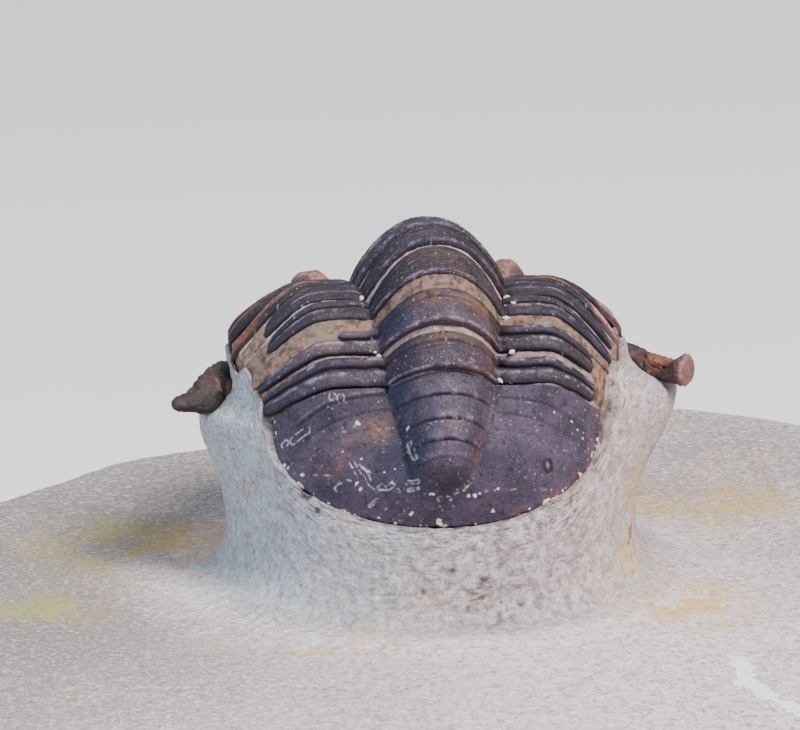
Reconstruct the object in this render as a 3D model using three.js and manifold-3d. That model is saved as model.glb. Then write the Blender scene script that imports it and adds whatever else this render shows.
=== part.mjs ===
// A trilobite fossil prepared in the round. The animal is flexed into an arch, and stands on a
// pedestal that is carved out of its own slab of limestone. Its tail shield faces -Y, its head
// shield slopes away to +Y, and two stout cheek spines stick out beside the body.
// Millimetres, +Z up. The origin is under the middle of the slab, on its flat underside.
import * as THREE from "three";
import { mergeVertices } from "three/addons/utils/BufferGeometryUtils.js";
import Module from "manifold-3d";

// Driving sizes of the animal
// Along the back from the tail: the rings' lengths, and the slope in degrees at each ring joint
const RING_LENGTHS = [1.46, 1.74, 1.32, 1.5, 1.42, 1.34, 1.28, 1.22, 1.15];
const JOINT_SLOPES = [57, 45, 33, 12, -2, -13, -20, -25, -29, -32];
const TAIL_SLOPE = 58;
const HEAD_SLOPE = -34;
const THORAX_LENGTH = RING_LENGTHS.reduce((sum, length) => sum + length, 0);
const TAIL_LENGTH = 5.3;
const TAIL_HALF_WIDTH = 6.64;
const TAIL_CORNER = 0.9; // how far behind the thorax the tail shield is widest
const HEAD_LENGTH = 6.6;
const HEAD_HALF_WIDTH = 7.85;
const SHELL = 0.42;
const SHELL_GAP = 0.3;
const RING_GAP = 0.12;

// Driving sizes of the stone
const SLAB_THICKNESS = 13;
const SLAB_TOP = -9.8; // under the last ring joint, which is the animal's own zero
const PEDESTAL_Y = 6.6; // from the last ring joint to the pedestal's middle
const RIM_WIDTH = 0.36;
const CORE_DEPTH = SHELL + SHELL_GAP;
// Slab outline: distance from the pedestal's middle, every 15 degrees from +X towards +Y
const SLAB_RADII = [
  27.5, 28.5, 29.5, 29, 28, 25, 22.6, 21.6, 22.2, 22, 22.5, 23.5, 25.5, 27.5, 28.5, 27.5, 26, 24.5, 24,
  24.5, 26, 28, 28.5, 27.5,
];

const DEGREE = Math.PI / 180;
const clamp = (value, low, high) => Math.min(high, Math.max(low, value));
const mix = (a, b, share) => a + (b - a) * share;
const smooth = (low, high, value) => {
  const share = clamp((value - low) / (high - low), 0, 1);
  return share * share * (3 - 2 * share);
};
const bell = (value, width) => Math.exp(-((value / width) ** 2));

// A smooth curve through knots [place, value], flat beyond both ends
function curve(knots) {
  const slope = (i) => {
    const before = knots[Math.max(i - 1, 0)];
    const after = knots[Math.min(i + 1, knots.length - 1)];
    return i === 0 || i === knots.length - 1 ? 0 : (after[1] - before[1]) / (after[0] - before[0]);
  };
  return (place) => {
    if (place <= knots[0][0]) return knots[0][1];
    const last = knots.length - 1;
    if (place >= knots[last][0]) return knots[last][1];
    let i = 0;
    while (place > knots[i + 1][0]) i += 1;
    const span = knots[i + 1][0] - knots[i][0];
    const t = (place - knots[i][0]) / span;
    const rise = knots[i][1] * (2 * t ** 3 - 3 * t ** 2 + 1) + knots[i + 1][1] * (3 * t ** 2 - 2 * t ** 3);
    return rise + span * (slope(i) * (t ** 3 - 2 * t ** 2 + t) + slope(i + 1) * (t ** 3 - t ** 2));
  };
}

// The line of the back: s runs along it from the last ring joint, forwards to the head
const JOINTS = RING_LENGTHS.reduce((list, length) => [...list, list[list.length - 1] + length], [0]);
const BACK_STEP = 0.05;
const BACK_START = -8;
const BACK_STEPS = 620;
const SMOOTHING = 10; // steps on each side over which a bend is spread
const rawSlope = (s) => {
  const places = [-0.6, ...JOINTS, THORAX_LENGTH + 2];
  const slopes = [TAIL_SLOPE, ...JOINT_SLOPES, HEAD_SLOPE];
  if (s <= places[0]) return TAIL_SLOPE;
  if (s >= places[places.length - 1]) return HEAD_SLOPE;
  let i = 0;
  while (s > places[i + 1]) i += 1;
  return mix(slopes[i], slopes[i + 1], (s - places[i]) / (places[i + 1] - places[i]));
};
const back = [];
for (let i = 0, y = 0, z = 0; i <= BACK_STEPS; i += 1) {
  let slope = 0;
  for (let j = -SMOOTHING; j <= SMOOTHING; j += 1) {
    slope += rawSlope(BACK_START + (i + j) * BACK_STEP) / (2 * SMOOTHING + 1);
  }
  back.push({ y, z, slope: slope * DEGREE });
  y += Math.cos(slope * DEGREE) * BACK_STEP;
  z += Math.sin(slope * DEGREE) * BACK_STEP;
}
function backAt(s) {
  const place = clamp((s - BACK_START) / BACK_STEP, 0, BACK_STEPS - 1e-6);
  const i = Math.floor(place);
  const share = place - i;
  return {
    y: mix(back[i].y, back[i + 1].y, share),
    z: mix(back[i].z, back[i + 1].z, share),
    slope: mix(back[i].slope, back[i + 1].slope, share),
  };
}
const LAST_JOINT = backAt(0);

// x across, s along the back and q up from it, turned into a point of the part
function bodyPoint(x, s, q) {
  const at = backAt(s);
  return new THREE.Vector3(
    x,
    at.y - LAST_JOINT.y - q * Math.sin(at.slope) - PEDESTAL_Y,
    at.z - LAST_JOINT.z + q * Math.cos(at.slope),
  );
}

// The animal's relief, as the height q over the line of the back
const axisHalfWidth = curve([
  [-5.3, 0.7], [-4, 1.1], [-2.6, 1.5], [0, 2.15], [2.8, 2.5], [5.6, 2.95], [8, 3.15], [12.4, 3.1],
]);
const axisHeight = curve([[-4.2, 1.1], [-3, 1.6], [0, 2.1], [3, 2.5], [7, 2.47], [12.4, 2.45]]);
const leftHalfWidth = curve([[-0.9, 6.64], [0, 6.95], [2, 7.35], [5, 8], [7.4, 8.2], [9, 8.2], [12.4, 7.85]]);
const rightHalfWidth = curve([
  [-0.9, 6.64], [0, 6.8], [2, 7.1], [5, 7.65], [7.4, 7.9], [9, 7.95], [12.4, 7.85],
]);
const bodyHalfWidth = (x, s) => (x < 0 ? leftHalfWidth(s) : rightHalfWidth(s));
const sideDrop = curve([[0, 2.7], [4, 2.7], [5.5, 2.5], [7.4, 1.95], [9, 1.8], [12.4, 2.7]]);
// The side lobes' ends are swept back towards the tail
const sweepLength = curve([[0, 0.42], [3, 0.6], [6, 1], [7.4, 1], [12.4, 0]]);
const sweep = (x, s) => sweepLength(s) * smooth(4, 7.6, Math.abs(x));
const lobe = (x, s) => {
  const share = Math.min(Math.abs(x) / axisHalfWidth(s), 1);
  return axisHeight(s) * (1 - share ** 2.2);
};
const sideField = (x, s) => {
  const width = bodyHalfWidth(x, s);
  const knee = 0.62 * width;
  const share = Math.max((Math.abs(x) - knee) / (width - knee), 0);
  return -sideDrop(s) * Math.min(share, 1.15) ** 1.6;
};
const thoraxHeight = (x, s) => lobe(x, s) + sideField(x, s);

const behindCorner = (p) => Math.max(p - TAIL_CORNER, 1e-6) / (TAIL_LENGTH - TAIL_CORNER);
const tailReach = (x, p) => Math.hypot(x / TAIL_HALF_WIDTH, behindCorner(p));
const tailField = (x, p) => {
  const angle = Math.atan2(Math.abs(x) / TAIL_HALF_WIDTH, behindCorner(p));
  const drop = mix(2.3, 3.5, (angle / (Math.PI / 2)) ** 1.4);
  return mix(sideField(x, 0), -drop * Math.min(tailReach(x, p), 1.1) ** 2.6, smooth(-0.2, 1.9, p));
};
const TAIL_FURROWS = [0.98, 1.92, 2.7, 3.3];
const tailHeight = (x, p) => {
  const field = tailField(x, p);
  const raised = lobe(x, -p) * (1 - smooth(3.5, 4.15, p + 0.2 * x * x));
  const furrows = TAIL_FURROWS.reduce((sum, furrow) => sum + bell(p - furrow, 0.1), 0);
  const ribs = 0.06 * Math.cos((p - 0.032 * x * x) * 6.5) * (1 - tailReach(x, p));
  return field + raised - (raised > 0.3 ? 0.16 * furrows : 0) + (Math.abs(x) > axisHalfWidth(-p) ? ribs : 0);
};

const EYE = { x: 4.34, p: 1.95, length: 1.22, width: 0.76, splay: 0.1, height: { left: 2.3, right: 2.6 } };
const headHalfWidth = (p) => HEAD_HALF_WIDTH * Math.sqrt(Math.max(1 - (p / HEAD_LENGTH) ** 2.2, 0));
const GLABELLA_LENGTH = 5.9;
const glabellaHalfWidth = curve([[0, 2.95], [0.9, 2.7], [2.4, 3.05], [4.2, 2.75], [5.4, 1.7], [5.9, 0.2]]);
const headField = (x, p) => {
  const reach = Math.hypot(x / HEAD_HALF_WIDTH, Math.max(p, 0) / HEAD_LENGTH);
  return -3.0 * Math.min(reach, 1.05) ** 2.8;
};
const headHeight = (x, p) => {
  const share = Math.abs(x) / glabellaHalfWidth(p);
  const cap = Math.sqrt(Math.max(1 - (clamp(p, 0, GLABELLA_LENGTH) / GLABELLA_LENGTH) ** 4, 0));
  const dome = share < 1 ? 3.0 * (1 - share ** 2.4) * cap : 0;
  const neckFurrow = share < 1 ? 0.45 * bell(p - 0.95, 0.22) : 0.25 * bell(p - 0.9, 0.3);
  const border = 0.35 * bell(Math.hypot(x / HEAD_HALF_WIDTH, p / HEAD_LENGTH) - 0.86, 0.05);
  const underEye = 0.7 * bell(Math.hypot((Math.abs(x) - 4.3) / 1.5, (p - EYE.p) / 1.7), 1);
  return headField(x, p) + dome + underEye - neckFurrow - border;
};

// A closed plate between an upper and an under grid of points, both rows by columns
function plate(upper, under) {
  const points = [];
  const faces = [];
  const add = (grid) => grid.map((row) => row.map((point) => points.push(point) - 1));
  const top = add(upper);
  const bottom = add(under);
  const quad = (a, b, c, d) => faces.push([a, b, c], [a, c, d]);
  const skin = (grid, flip) => {
    for (let i = 0; i + 1 < grid.length; i += 1) {
      for (let j = 0; j + 1 < grid[i].length; j += 1) {
        const corners = [grid[i][j], grid[i][j + 1], grid[i + 1][j + 1], grid[i + 1][j]];
        quad(...(flip ? corners.reverse() : corners));
      }
    }
  };
  skin(top, false);
  skin(bottom, true);
  const edge = (grid) => {
    const last = grid.length - 1;
    return [
      grid[0],
      grid.map((row) => row[row.length - 1]),
      [...grid[last]].reverse(),
      grid.map((row) => row[0]).reverse(),
    ];
  };
  const high = edge(top);
  const low = edge(bottom);
  // Each side runs along its upper and its under edge, which may have different numbers of points
  for (let side = 0; side < 4; side += 1) {
    const a = high[side];
    const b = low[side];
    let i = 0;
    let j = 0;
    while (i + 1 < a.length || j + 1 < b.length) {
      const highIsNext = (i + 1) / (a.length - 1) <= (j + 1) / (b.length - 1);
      if (j + 1 >= b.length || (i + 1 < a.length && highIsNext)) {
        faces.push([a[i], b[j], a[i + 1]]);
        i += 1;
      } else {
        faces.push([a[i], b[j], b[j + 1]]);
        j += 1;
      }
    }
  }
  return { points, faces };
}

function geometryOf({ points, faces }) {
  const geometry = new THREE.BufferGeometry();
  const numbers = points.flatMap((point) => [point.x, point.y, point.z]);
  geometry.setAttribute("position", new THREE.Float32BufferAttribute(numbers, 3));
  geometry.setIndex(faces.flat());
  return geometry;
}

// Joins closed shapes into one solid
const wasm = await Module();
wasm.setup();
function solid(geometry) {
  const bare = geometry.index ? geometry.toNonIndexed() : geometry.clone();
  bare.deleteAttribute("normal");
  bare.deleteAttribute("uv");
  const merged = mergeVertices(bare, 1e-4);
  const made = new wasm.Manifold(
    new wasm.Mesh({
      numProp: 3,
      vertProperties: merged.attributes.position.array,
      triVerts: new Uint32Array(merged.index.array),
    }),
  );
  if (made.volume() < 0) throw new Error("a shape is inside out");
  return made;
}
function joined(geometries, cutters = []) {
  const whole = geometries.map(solid).reduce((sum, next) => sum.add(next));
  const mesh = cutters.map(solid).reduce((rest, cutter) => rest.subtract(cutter), whole).getMesh();
  const geometry = new THREE.BufferGeometry();
  geometry.setAttribute("position", new THREE.BufferAttribute(new Float32Array(mesh.vertProperties), 3));
  geometry.setIndex(new THREE.BufferAttribute(new Uint32Array(mesh.triVerts), 1));
  return geometry;
}

// Thoracic rings: one tergite each, from the tail forwards
const AXIS_STOPS = [0.93, 0.78, 0.55, 0.28];
const SIDE_STOPS = [1, 0.88, 0.74, 0.58, 0.34, 0.08];
const acrossStops = (s, reachLeft, reachRight) => {
  const a = axisHalfWidth(s);
  const side = (share, sign, reach) => sign * (a + (bodyHalfWidth(sign, s) - a) * share * reach);
  return [
    ...SIDE_STOPS.map((share) => side(share, -1, reachLeft)),
    ...AXIS_STOPS.map((share) => -a * share),
    0,
    ...[...AXIS_STOPS].reverse().map((share) => a * share),
    ...[...SIDE_STOPS].reverse().map((share) => side(share, 1, reachRight)),
  ];
};
const RING_ROWS = [1, 0.76, 0.38, 0.24, 0]; // rear edge, second band, furrow, first band, front edge
const AXIS_RELIEF = [0.02, 0.12, -0.16, -0.02, -0.26];
const SIDE_RELIEF = [-0.02, 0.1, -0.18, 0.02, -0.2];
// How far each ring's side lobes reach before stone covers them, and how much wider the gap before
// it is on the axis and on each side
const RINGS = [
  { left: 0.97, right: 0.87, gap: 0.05, leftGap: 0.06, rightGap: 0.24 },
  { left: 0.94, right: 0.81, gap: 0.32, leftGap: 0.58, rightGap: 0.44 },
  { left: 0.79, right: 0.96, gap: 0.03 },
  { left: 0.77, right: 0.92, gap: 0 },
  { left: 1, right: 0.95, gap: 0 },
  { left: 1, right: 1, gap: 0 },
  { left: 1, right: 1, gap: 0 },
  { left: 0.97, right: 0.97, gap: 0 },
  { left: 0.95, right: 0.95, gap: 0 },
];
const BROKEN_RING = 1; // its front band is missing on the left
function ring(index) {
  const { left, right, gap, leftGap = gap, rightGap = gap } = RINGS[index];
  const middle = (JOINTS[index] + JOINTS[index + 1]) / 2;
  const rearAt = (x) => JOINTS[index] + RING_GAP / 2 - sweep(x, JOINTS[index]);
  const frontAt = (x) => {
    const beside = smooth(0.95, 1.15, Math.abs(x) / axisHalfWidth(middle));
    const broken = index === BROKEN_RING ? 0.4 * smooth(3.8, 4.3, -x) : 0;
    const widened = mix(gap, x < 0 ? leftGap : rightGap, beside) + broken;
    return JOINTS[index + 1] - RING_GAP / 2 - widened - sweep(x, JOINTS[index + 1]);
  };
  const columns = acrossStops(middle, left, right);
  const at = (x, column, share, relief) => {
    const tip = column === 0 || column === columns.length - 1;
    const along = tip ? mix(0.5, share, 0.6) : share;
    const s = mix(frontAt(x), rearAt(x), along);
    return [x, s, thoraxHeight(x, middle - sweep(x, middle)) + relief];
  };
  const upper = RING_ROWS.map((share, row) =>
    columns.map((x, column) => {
      const onAxis = Math.abs(x) < axisHalfWidth(middle) * 0.99;
      return bodyPoint(...at(x, column, share, onAxis ? AXIS_RELIEF[row] : SIDE_RELIEF[row]));
    }),
  );
  const under = [1, 0].map((share) =>
    columns.map((x, column) => {
      const [, s, q] = at(x, column, share, 0);
      return bodyPoint(x, s, q - SHELL);
    }),
  );
  return geometryOf(plate(upper, under));
}

// Tail shield: rows from its front edge to its rear margin
const TAIL_STOPS = [0, 0.45, 0.84, 1, 1.45, 1.8, 1.95, 2.3, 2.6, 2.75, 3.1, 3.6, 4.15, 4.7, 5.3];
const TAIL_ROWS = TAIL_STOPS.map((p) => p / TAIL_LENGTH);
const TAIL_COLUMNS = 26;
function tailPoint(column, share, depth, clearance) {
  const side = Math.sin((column / TAIL_COLUMNS - 0.5) * Math.PI);
  const x = (TAIL_HALF_WIDTH * 0.995 + clearance) * side;
  const across = Math.abs(side);
  const front = 0.1 - clearance + sweep(x, 0);
  const corner = TAIL_CORNER + 0.12;
  const rear = corner + (TAIL_LENGTH + clearance - corner) * Math.sqrt(1 - across ** 2);
  const p = mix(front, rear + clearance * 0.5, share);
  return bodyPoint(x, -p, tailHeight(x, p) - depth);
}
function tailShield(clearance = 0) {
  const grid = (depth, rows) =>
    rows
      .map((share) =>
        Array.from({ length: TAIL_COLUMNS + 1 }, (_, column) => tailPoint(column, share, depth, clearance)),
      )
      .reverse();
  const plainRows = TAIL_ROWS.filter((_, row) => row % 2 === 0);
  const upperRows = clearance ? plainRows : TAIL_ROWS;
  return geometryOf(plate(grid(-clearance, upperRows), grid(SHELL + clearance, plainRows)));
}

// Head shield: the middle part, and the two cheeks beyond the sutures with their eyes and spines
const SUTURE_GAP = 0.1;
const sutureAt = curve([[0, 5.4], [1, 4.2], [1.8, 3.4], [3, 3.25], [4.4, 3.6], [5.6, 2.9], [6.3, 2.1]]);
const MIDDLE_COLUMNS = 18;
const MIDDLE_ROWS = [0, 0.05, 0.1, 0.15, 0.2, 0.29, 0.41, 0.53, 0.64, 0.75, 0.86, 0.94, 1];
const headFront = (x) => HEAD_LENGTH * Math.max(1 - (Math.abs(x) / HEAD_HALF_WIDTH) ** 2.2, 0) ** (1 / 2.2);
const headPoint = (x, p, depth) => bodyPoint(x, THORAX_LENGTH + RING_GAP + p, headHeight(x, p) - depth);
function headMiddle() {
  const grid = (depth) =>
    MIDDLE_ROWS.map((share) =>
      Array.from({ length: MIDDLE_COLUMNS + 1 }, (_, column) => {
        const across = (column / MIDDLE_COLUMNS) * 2 - 1;
        const nearFront = across * sutureAt(6.3);
        const p = share * headFront(nearFront);
        return headPoint(across * (sutureAt(p) - SUTURE_GAP), p, depth);
      }),
    );
  return geometryOf(plate(grid(0), grid(SHELL)));
}
const CHEEK_ROWS = [0, 0.055, 0.11, 0.165, 0.22, 0.32, 0.45, 0.58, 0.7, 0.82, 0.92, 1];
const CHEEK_COLUMNS = [0, 0.18, 0.36, 0.55, 0.7, 0.84, 1];
const CHEEK_FRONT = 5.95;
// Each cheek spine: points on its middle line from the head backwards, and its radius at each,
// measured from the last ring joint
const SPINES = {
  left: {
    line: [
      [-7.1, 10.6, -2.2], [-7.95, 8.7, -2.05], [-8.45, 6.3, -1.55], [-9.35, 5.1, -1.8], [-10.52, 4.2, -1.77],
    ],
    radii: [0.4, 0.6, 0.8, 0.5, 0.2],
  },
  right: {
    line: [
      [7.1, 10.6, -2.2], [7.9, 8.7, -1.8], [8.3, 6.5, -1.05], [9.1, 5.3, -0.92], [9.9, 4.5, -0.82],
      [10.6, 3.9, -0.75],
    ],
    radii: [0.4, 0.55, 0.6, 0.46, 0.52, 0.55],
  },
};
function spine(side, clearance = 0) {
  const { line, radii } = SPINES[side];
  const path = new THREE.CatmullRomCurve3(line.map(([x, y, z]) => new THREE.Vector3(x, y - PEDESTAL_Y, z)));
  const radiusAt = curve(radii.map((radius, i) => [i / (radii.length - 1), radius]));
  const steps = 10;
  const sides = 8;
  const points = [];
  const faces = [];
  for (let i = 0; i <= steps; i += 1) {
    const share = i / steps;
    const centre = path.getPoint(share);
    const along = path.getTangent(share);
    const out = new THREE.Vector3().crossVectors(along, new THREE.Vector3(0, 0, 1)).normalize();
    const up = new THREE.Vector3().crossVectors(out, along).normalize();
    const thick = clearance + radiusAt(share) * (i === steps ? 0.7 : 1);
    for (let j = 0; j < sides; j += 1) {
      const angle = (j / sides) * 2 * Math.PI;
      points.push(
        centre
          .clone()
          .addScaledVector(out, Math.cos(angle) * thick * 1.15)
          .addScaledVector(up, Math.sin(angle) * thick),
      );
    }
  }
  for (let i = 0; i < steps; i += 1) {
    for (let j = 0; j < sides; j += 1) {
      const a = i * sides + j;
      const b = i * sides + ((j + 1) % sides);
      faces.push([a, b + sides, b], [a, a + sides, b + sides]);
    }
  }
  for (let j = 1; j + 1 < sides; j += 1) {
    faces.push([0, j, j + 1]);
    faces.push([steps * sides, steps * sides + j + 1, steps * sides + j]);
  }
  return geometryOf({ points, faces });
}
function eye(side, sign) {
  const profile = [[0, -0.1], [0.9, -0.1], [1, 0], [0.97, 0.3], [0.84, 0.6], [0.56, 0.86], [0, 1]];
  const outline = profile.map(([radius, height]) => new THREE.Vector2(radius, height));
  const dome = new THREE.LatheGeometry(outline, 16);
  dome.rotateX(Math.PI / 2);
  dome.scale(EYE.width, EYE.length, EYE.height[side]);
  dome.rotateY(sign * EYE.splay);
  dome.rotateX(backAt(THORAX_LENGTH + EYE.p).slope);
  const place = headPoint(sign * EYE.x, EYE.p, 0.02);
  dome.translate(place.x, place.y, place.z);
  return dome;
}
function cheek(side, sign) {
  const grid = (depth) =>
    CHEEK_ROWS.map((share) =>
      CHEEK_COLUMNS.map((outward) => {
        const inner = sutureAt(share * CHEEK_FRONT) + SUTURE_GAP;
        const rim = Math.max(headHalfWidth(share * CHEEK_FRONT), inner + 0.15);
        const x = mix(inner, rim, outward);
        return headPoint(sign * x, share * CHEEK_FRONT, depth);
      }),
    );
  const order = (rows) => (sign > 0 ? rows : rows.map((row) => row.reverse()));
  const field = geometryOf(plate(order(grid(0)), order(grid(SHELL))));
  return joined([field, eye(side, sign), spine(side)]);
}

// The animal's edge in x, s and q, as turn goes once round it from the tail's rear towards +X
function marginAt(turn) {
  const share = ((turn % 1) + 1) % 1;
  const half = share > 0.5 ? 1 - share : share;
  const sign = share > 0.5 ? -1 : 1;
  if (half < 0.17) {
    const angle = (half / 0.17) * (Math.PI / 2);
    const x = TAIL_HALF_WIDTH * Math.sin(angle);
    const p = TAIL_CORNER + (TAIL_LENGTH - TAIL_CORNER) * Math.cos(angle);
    return { x: sign * x, s: -p, q: tailField(x, p) };
  }
  if (half < 0.32) {
    const s = mix(-TAIL_CORNER, THORAX_LENGTH, (half - 0.17) / 0.15);
    const x = bodyHalfWidth(sign, s);
    const q = mix(tailField(x, TAIL_CORNER), sideField(sign * x, s), smooth(-TAIL_CORNER, 0.4, s));
    return { x: sign * x, s, q };
  }
  const angle = ((half - 0.32) / 0.18) * (Math.PI / 2);
  const x = HEAD_HALF_WIDTH * Math.cos(angle) ** (2 / 2.2);
  const p = HEAD_LENGTH * Math.sin(angle) ** (2 / 2.2);
  return { x: sign * x, s: THORAX_LENGTH + p, q: headField(x, p) };
}
const surfaceHeight = (x, s) => {
  if (s < 0) return tailField(x, -s) + lobe(x, s) * (1 - smooth(3.4, 4.2, -s));
  if (s < THORAX_LENGTH) return thoraxHeight(x, s);
  return headHeight(x, s - THORAX_LENGTH) - 0.3 * smooth(0, 1, s - THORAX_LENGTH);
};

// The stone: a core inside the animal, a rim round it, the pedestal's wall and the slab
const TURNS = 56;
const CORE_SHARES = [0.14, 0.24, 0.32, 0.4, 0.5, 0.62, 0.76, 0.88, 0.965];
const CORE_MIDDLE_S = 5.6;
const WALL_SHARES = [0.1, 0.23, 0.38, 0.54, 0.7, 0.84, 0.95];
const SLAB_SHARES = [0.03, 0.16, 0.38, 0.65, 0.9];
const slabRadius = curve(
  [...SLAB_RADII, ...SLAB_RADII, ...SLAB_RADII].map((radius, i) => [(i - SLAB_RADII.length) * 15, radius]),
);
const wrap = (degrees) => ((degrees % 360) + 360) % 360;
const facing = (degrees, centre, width) => {
  const off = wrap(degrees - centre + 180) - 180;
  return bell(off, width);
};
function neckRadius(degrees) {
  return 8.1 + 0.45 * facing(degrees, 0, 45) - 0.05 * facing(degrees, 180, 45) + 0.3 * facing(degrees, 90, 50);
}
// The pedestal widens into a bracket under each cheek spine
function bracket(degrees, z) {
  const right = 1.85 * facing(degrees, -3, 26) * bell(z + 1.7, z > -1.7 ? 0.7 : 3.1);
  const left = 1.35 * facing(degrees, 182, 26) * bell(z + 2.6, z > -2.6 ? 0.8 : 3.1);
  return right + left;
}
const slabTop = (degrees, share) => {
  const behind = 0.95 * facing(degrees, 85, 75);
  return SLAB_TOP + (behind - 0.6) * share ** 2 + 0.25 * Math.sin(degrees * DEGREE * 2 + 1) * share;
};
const FOOT_FLARE = 1.8;

function stone() {
  const rows = [];
  const polar = (degrees, radius, z) =>
    new THREE.Vector3(radius * Math.cos(degrees * DEGREE), radius * Math.sin(degrees * DEGREE), z);
  const turns = Array.from({ length: TURNS }, (_, i) => i / TURNS);
  CORE_SHARES.forEach((share) => {
    rows.push(
      turns.map((turn) => {
        const edge = marginAt(turn);
        const x = edge.x * share;
        const s = mix(CORE_MIDDLE_S, edge.s, share);
        return bodyPoint(x, s, surfaceHeight(x, s) - CORE_DEPTH);
      }),
    );
  });
  const rims = turns.map((turn) => {
    const edge = marginAt(turn);
    const point = bodyPoint(edge.x, edge.s, edge.q);
    const radius = Math.hypot(point.x, point.y);
    return { degrees: Math.atan2(point.y, point.x) / DEGREE, radius, z: point.z };
  });
  rows.push(rims.map((rim) => polar(rim.degrees, rim.radius + 0.12, rim.z - CORE_DEPTH)));
  rows.push(rims.map((rim) => polar(rim.degrees, rim.radius + 0.22, rim.z - 0.08)));
  rows.push(rims.map((rim) => polar(rim.degrees, rim.radius + RIM_WIDTH, rim.z - 0.12)));
  WALL_SHARES.forEach((share) => {
    rows.push(
      rims.map((rim) => {
        const z = mix(rim.z, slabTop(rim.degrees, 0.3) + 0.35, share);
        const neck = neckRadius(rim.degrees);
        const nearRim = Math.exp(-(rim.z - z) / 1.1);
        const foot = FOOT_FLARE * Math.exp(-(z - SLAB_TOP) / 0.7);
        const radius = mix(neck, rim.radius + RIM_WIDTH, nearRim) + foot + bracket(rim.degrees, z);
        return polar(rim.degrees, radius, z);
      }),
    );
  });
  const footRadius = (rim) => neckRadius(rim.degrees) + FOOT_FLARE;
  SLAB_SHARES.forEach((share) => {
    rows.push(
      rims.map((rim) => {
        const degrees = rim.degrees;
        const radius = mix(footRadius(rim), slabRadius(wrap(degrees)), share);
        const step = 0.28 * Math.exp(-(radius - footRadius(rim)) / 1.6);
        return polar(degrees, radius, slabTop(degrees, share) + step);
      }),
    );
  });
  const bottom = SLAB_TOP - SLAB_THICKNESS;
  const edges = [
    [0.965, -0.3],
    [0.998, -2.2],
    [1, -5.2],
    [0.97, -9.8],
    [0.925, -12.6],
  ];
  edges.forEach(([share, depth], i) => {
    rows.push(
      rims.map((rim) => {
        const wave = 1 + 0.012 * Math.sin(rim.degrees * DEGREE * 5 + i * 1.7) * (i > 0 ? 1 : 0);
        const lift = (slabTop(rim.degrees, 0.94) - SLAB_TOP) * Math.max(1 - i / 3, 0);
        return polar(rim.degrees, slabRadius(wrap(rim.degrees)) * share * wave, SLAB_TOP + lift + depth);
      }),
    );
  });
  rows.push(rims.map((rim) => polar(rim.degrees, slabRadius(wrap(rim.degrees)) * 0.89, bottom)));
  const points = rows.flat();
  const top = points.push(bodyPoint(0, CORE_MIDDLE_S, surfaceHeight(0, CORE_MIDDLE_S) - CORE_DEPTH)) - 1;
  const base = points.push(new THREE.Vector3(0, 0, bottom)) - 1;
  const faces = [];
  for (let j = 0; j < TURNS; j += 1) {
    const next = (j + 1) % TURNS;
    faces.push([top, j, next]);
    for (let i = 0; i + 1 < rows.length; i += 1) {
      const a = i * TURNS;
      const b = a + TURNS;
      faces.push([a + j, b + j, b + next], [a + j, b + next, a + next]);
    }
    const last = (rows.length - 1) * TURNS;
    faces.push([base, last + next, last + j]);
  }
  return geometryOf({ points, faces });
}

// Finishes
const limestone = new THREE.MeshStandardMaterial({ color: 0xc9c0bd, roughness: 0.95, metalness: 0 });
const darkShell = new THREE.MeshStandardMaterial({ color: 0x3a3340, roughness: 0.5, metalness: 0 });
const brownShell = new THREE.MeshStandardMaterial({ color: 0x5b4236, roughness: 0.6, metalness: 0 });

// The model, moved so that the slab's box is centred over the origin and its underside is at zero
const fossil = new THREE.Group();
function piece(name, geometry, material) {
  const mesh = new THREE.Mesh(geometry, material);
  mesh.name = name;
  fossil.add(mesh);
  return mesh;
}
const hollows = [tailShield(SHELL_GAP * 0.7), spine("left", SHELL_GAP), spine("right", SHELL_GAP)];
const matrix = piece("limestone_matrix", joined([stone()], hollows), limestone);
piece("pygidium", tailShield(), darkShell);
RINGS.forEach((_, i) => {
  const number = String(RINGS.length - i).padStart(2, "0");
  piece(`thoracic_segment_${number}`, ring(i), darkShell);
});
piece("cranidium", headMiddle(), darkShell);
piece("free_cheek_left", cheek("left", -1), brownShell);
piece("free_cheek_right", cheek("right", 1), brownShell);

matrix.geometry.computeBoundingBox();
const box = matrix.geometry.boundingBox;
fossil.position.set(-(box.min.x + box.max.x) / 2, -(box.min.y + box.max.y) / 2, -box.min.z);

export default fossil;
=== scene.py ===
import bpy
import numpy as np
from mathutils import Matrix, Vector


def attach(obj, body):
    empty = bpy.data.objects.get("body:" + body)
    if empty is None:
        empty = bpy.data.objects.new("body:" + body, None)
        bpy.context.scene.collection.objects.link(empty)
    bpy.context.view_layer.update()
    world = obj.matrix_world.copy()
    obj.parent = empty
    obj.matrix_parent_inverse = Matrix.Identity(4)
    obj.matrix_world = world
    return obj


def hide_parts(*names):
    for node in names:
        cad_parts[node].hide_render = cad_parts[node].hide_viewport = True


MM = 0.001
# The last ring joint, which is the zero of the animal's own measures, in the row's frame
ZERO = np.array([-0.518, -6.843, 22.8])

# Sizes of the animal in millimetres, the same as the solids'
RING_LENGTHS = [1.46, 1.74, 1.32, 1.5, 1.42, 1.34, 1.28, 1.22, 1.15]
JOINT_SLOPES = [57, 45, 33, 12, -2, -13, -20, -25, -29, -32]
TAIL_SLOPE, HEAD_SLOPE = 58, -34
JOINTS = np.concatenate([[0], np.cumsum(RING_LENGTHS)])
THORAX = JOINTS[-1]
TAIL_LENGTH, TAIL_HALF_WIDTH, TAIL_CORNER = 5.3, 6.64, 0.9
HEAD_LENGTH, HEAD_HALF_WIDTH = 6.6, 7.85
SHELL = 0.3

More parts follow.
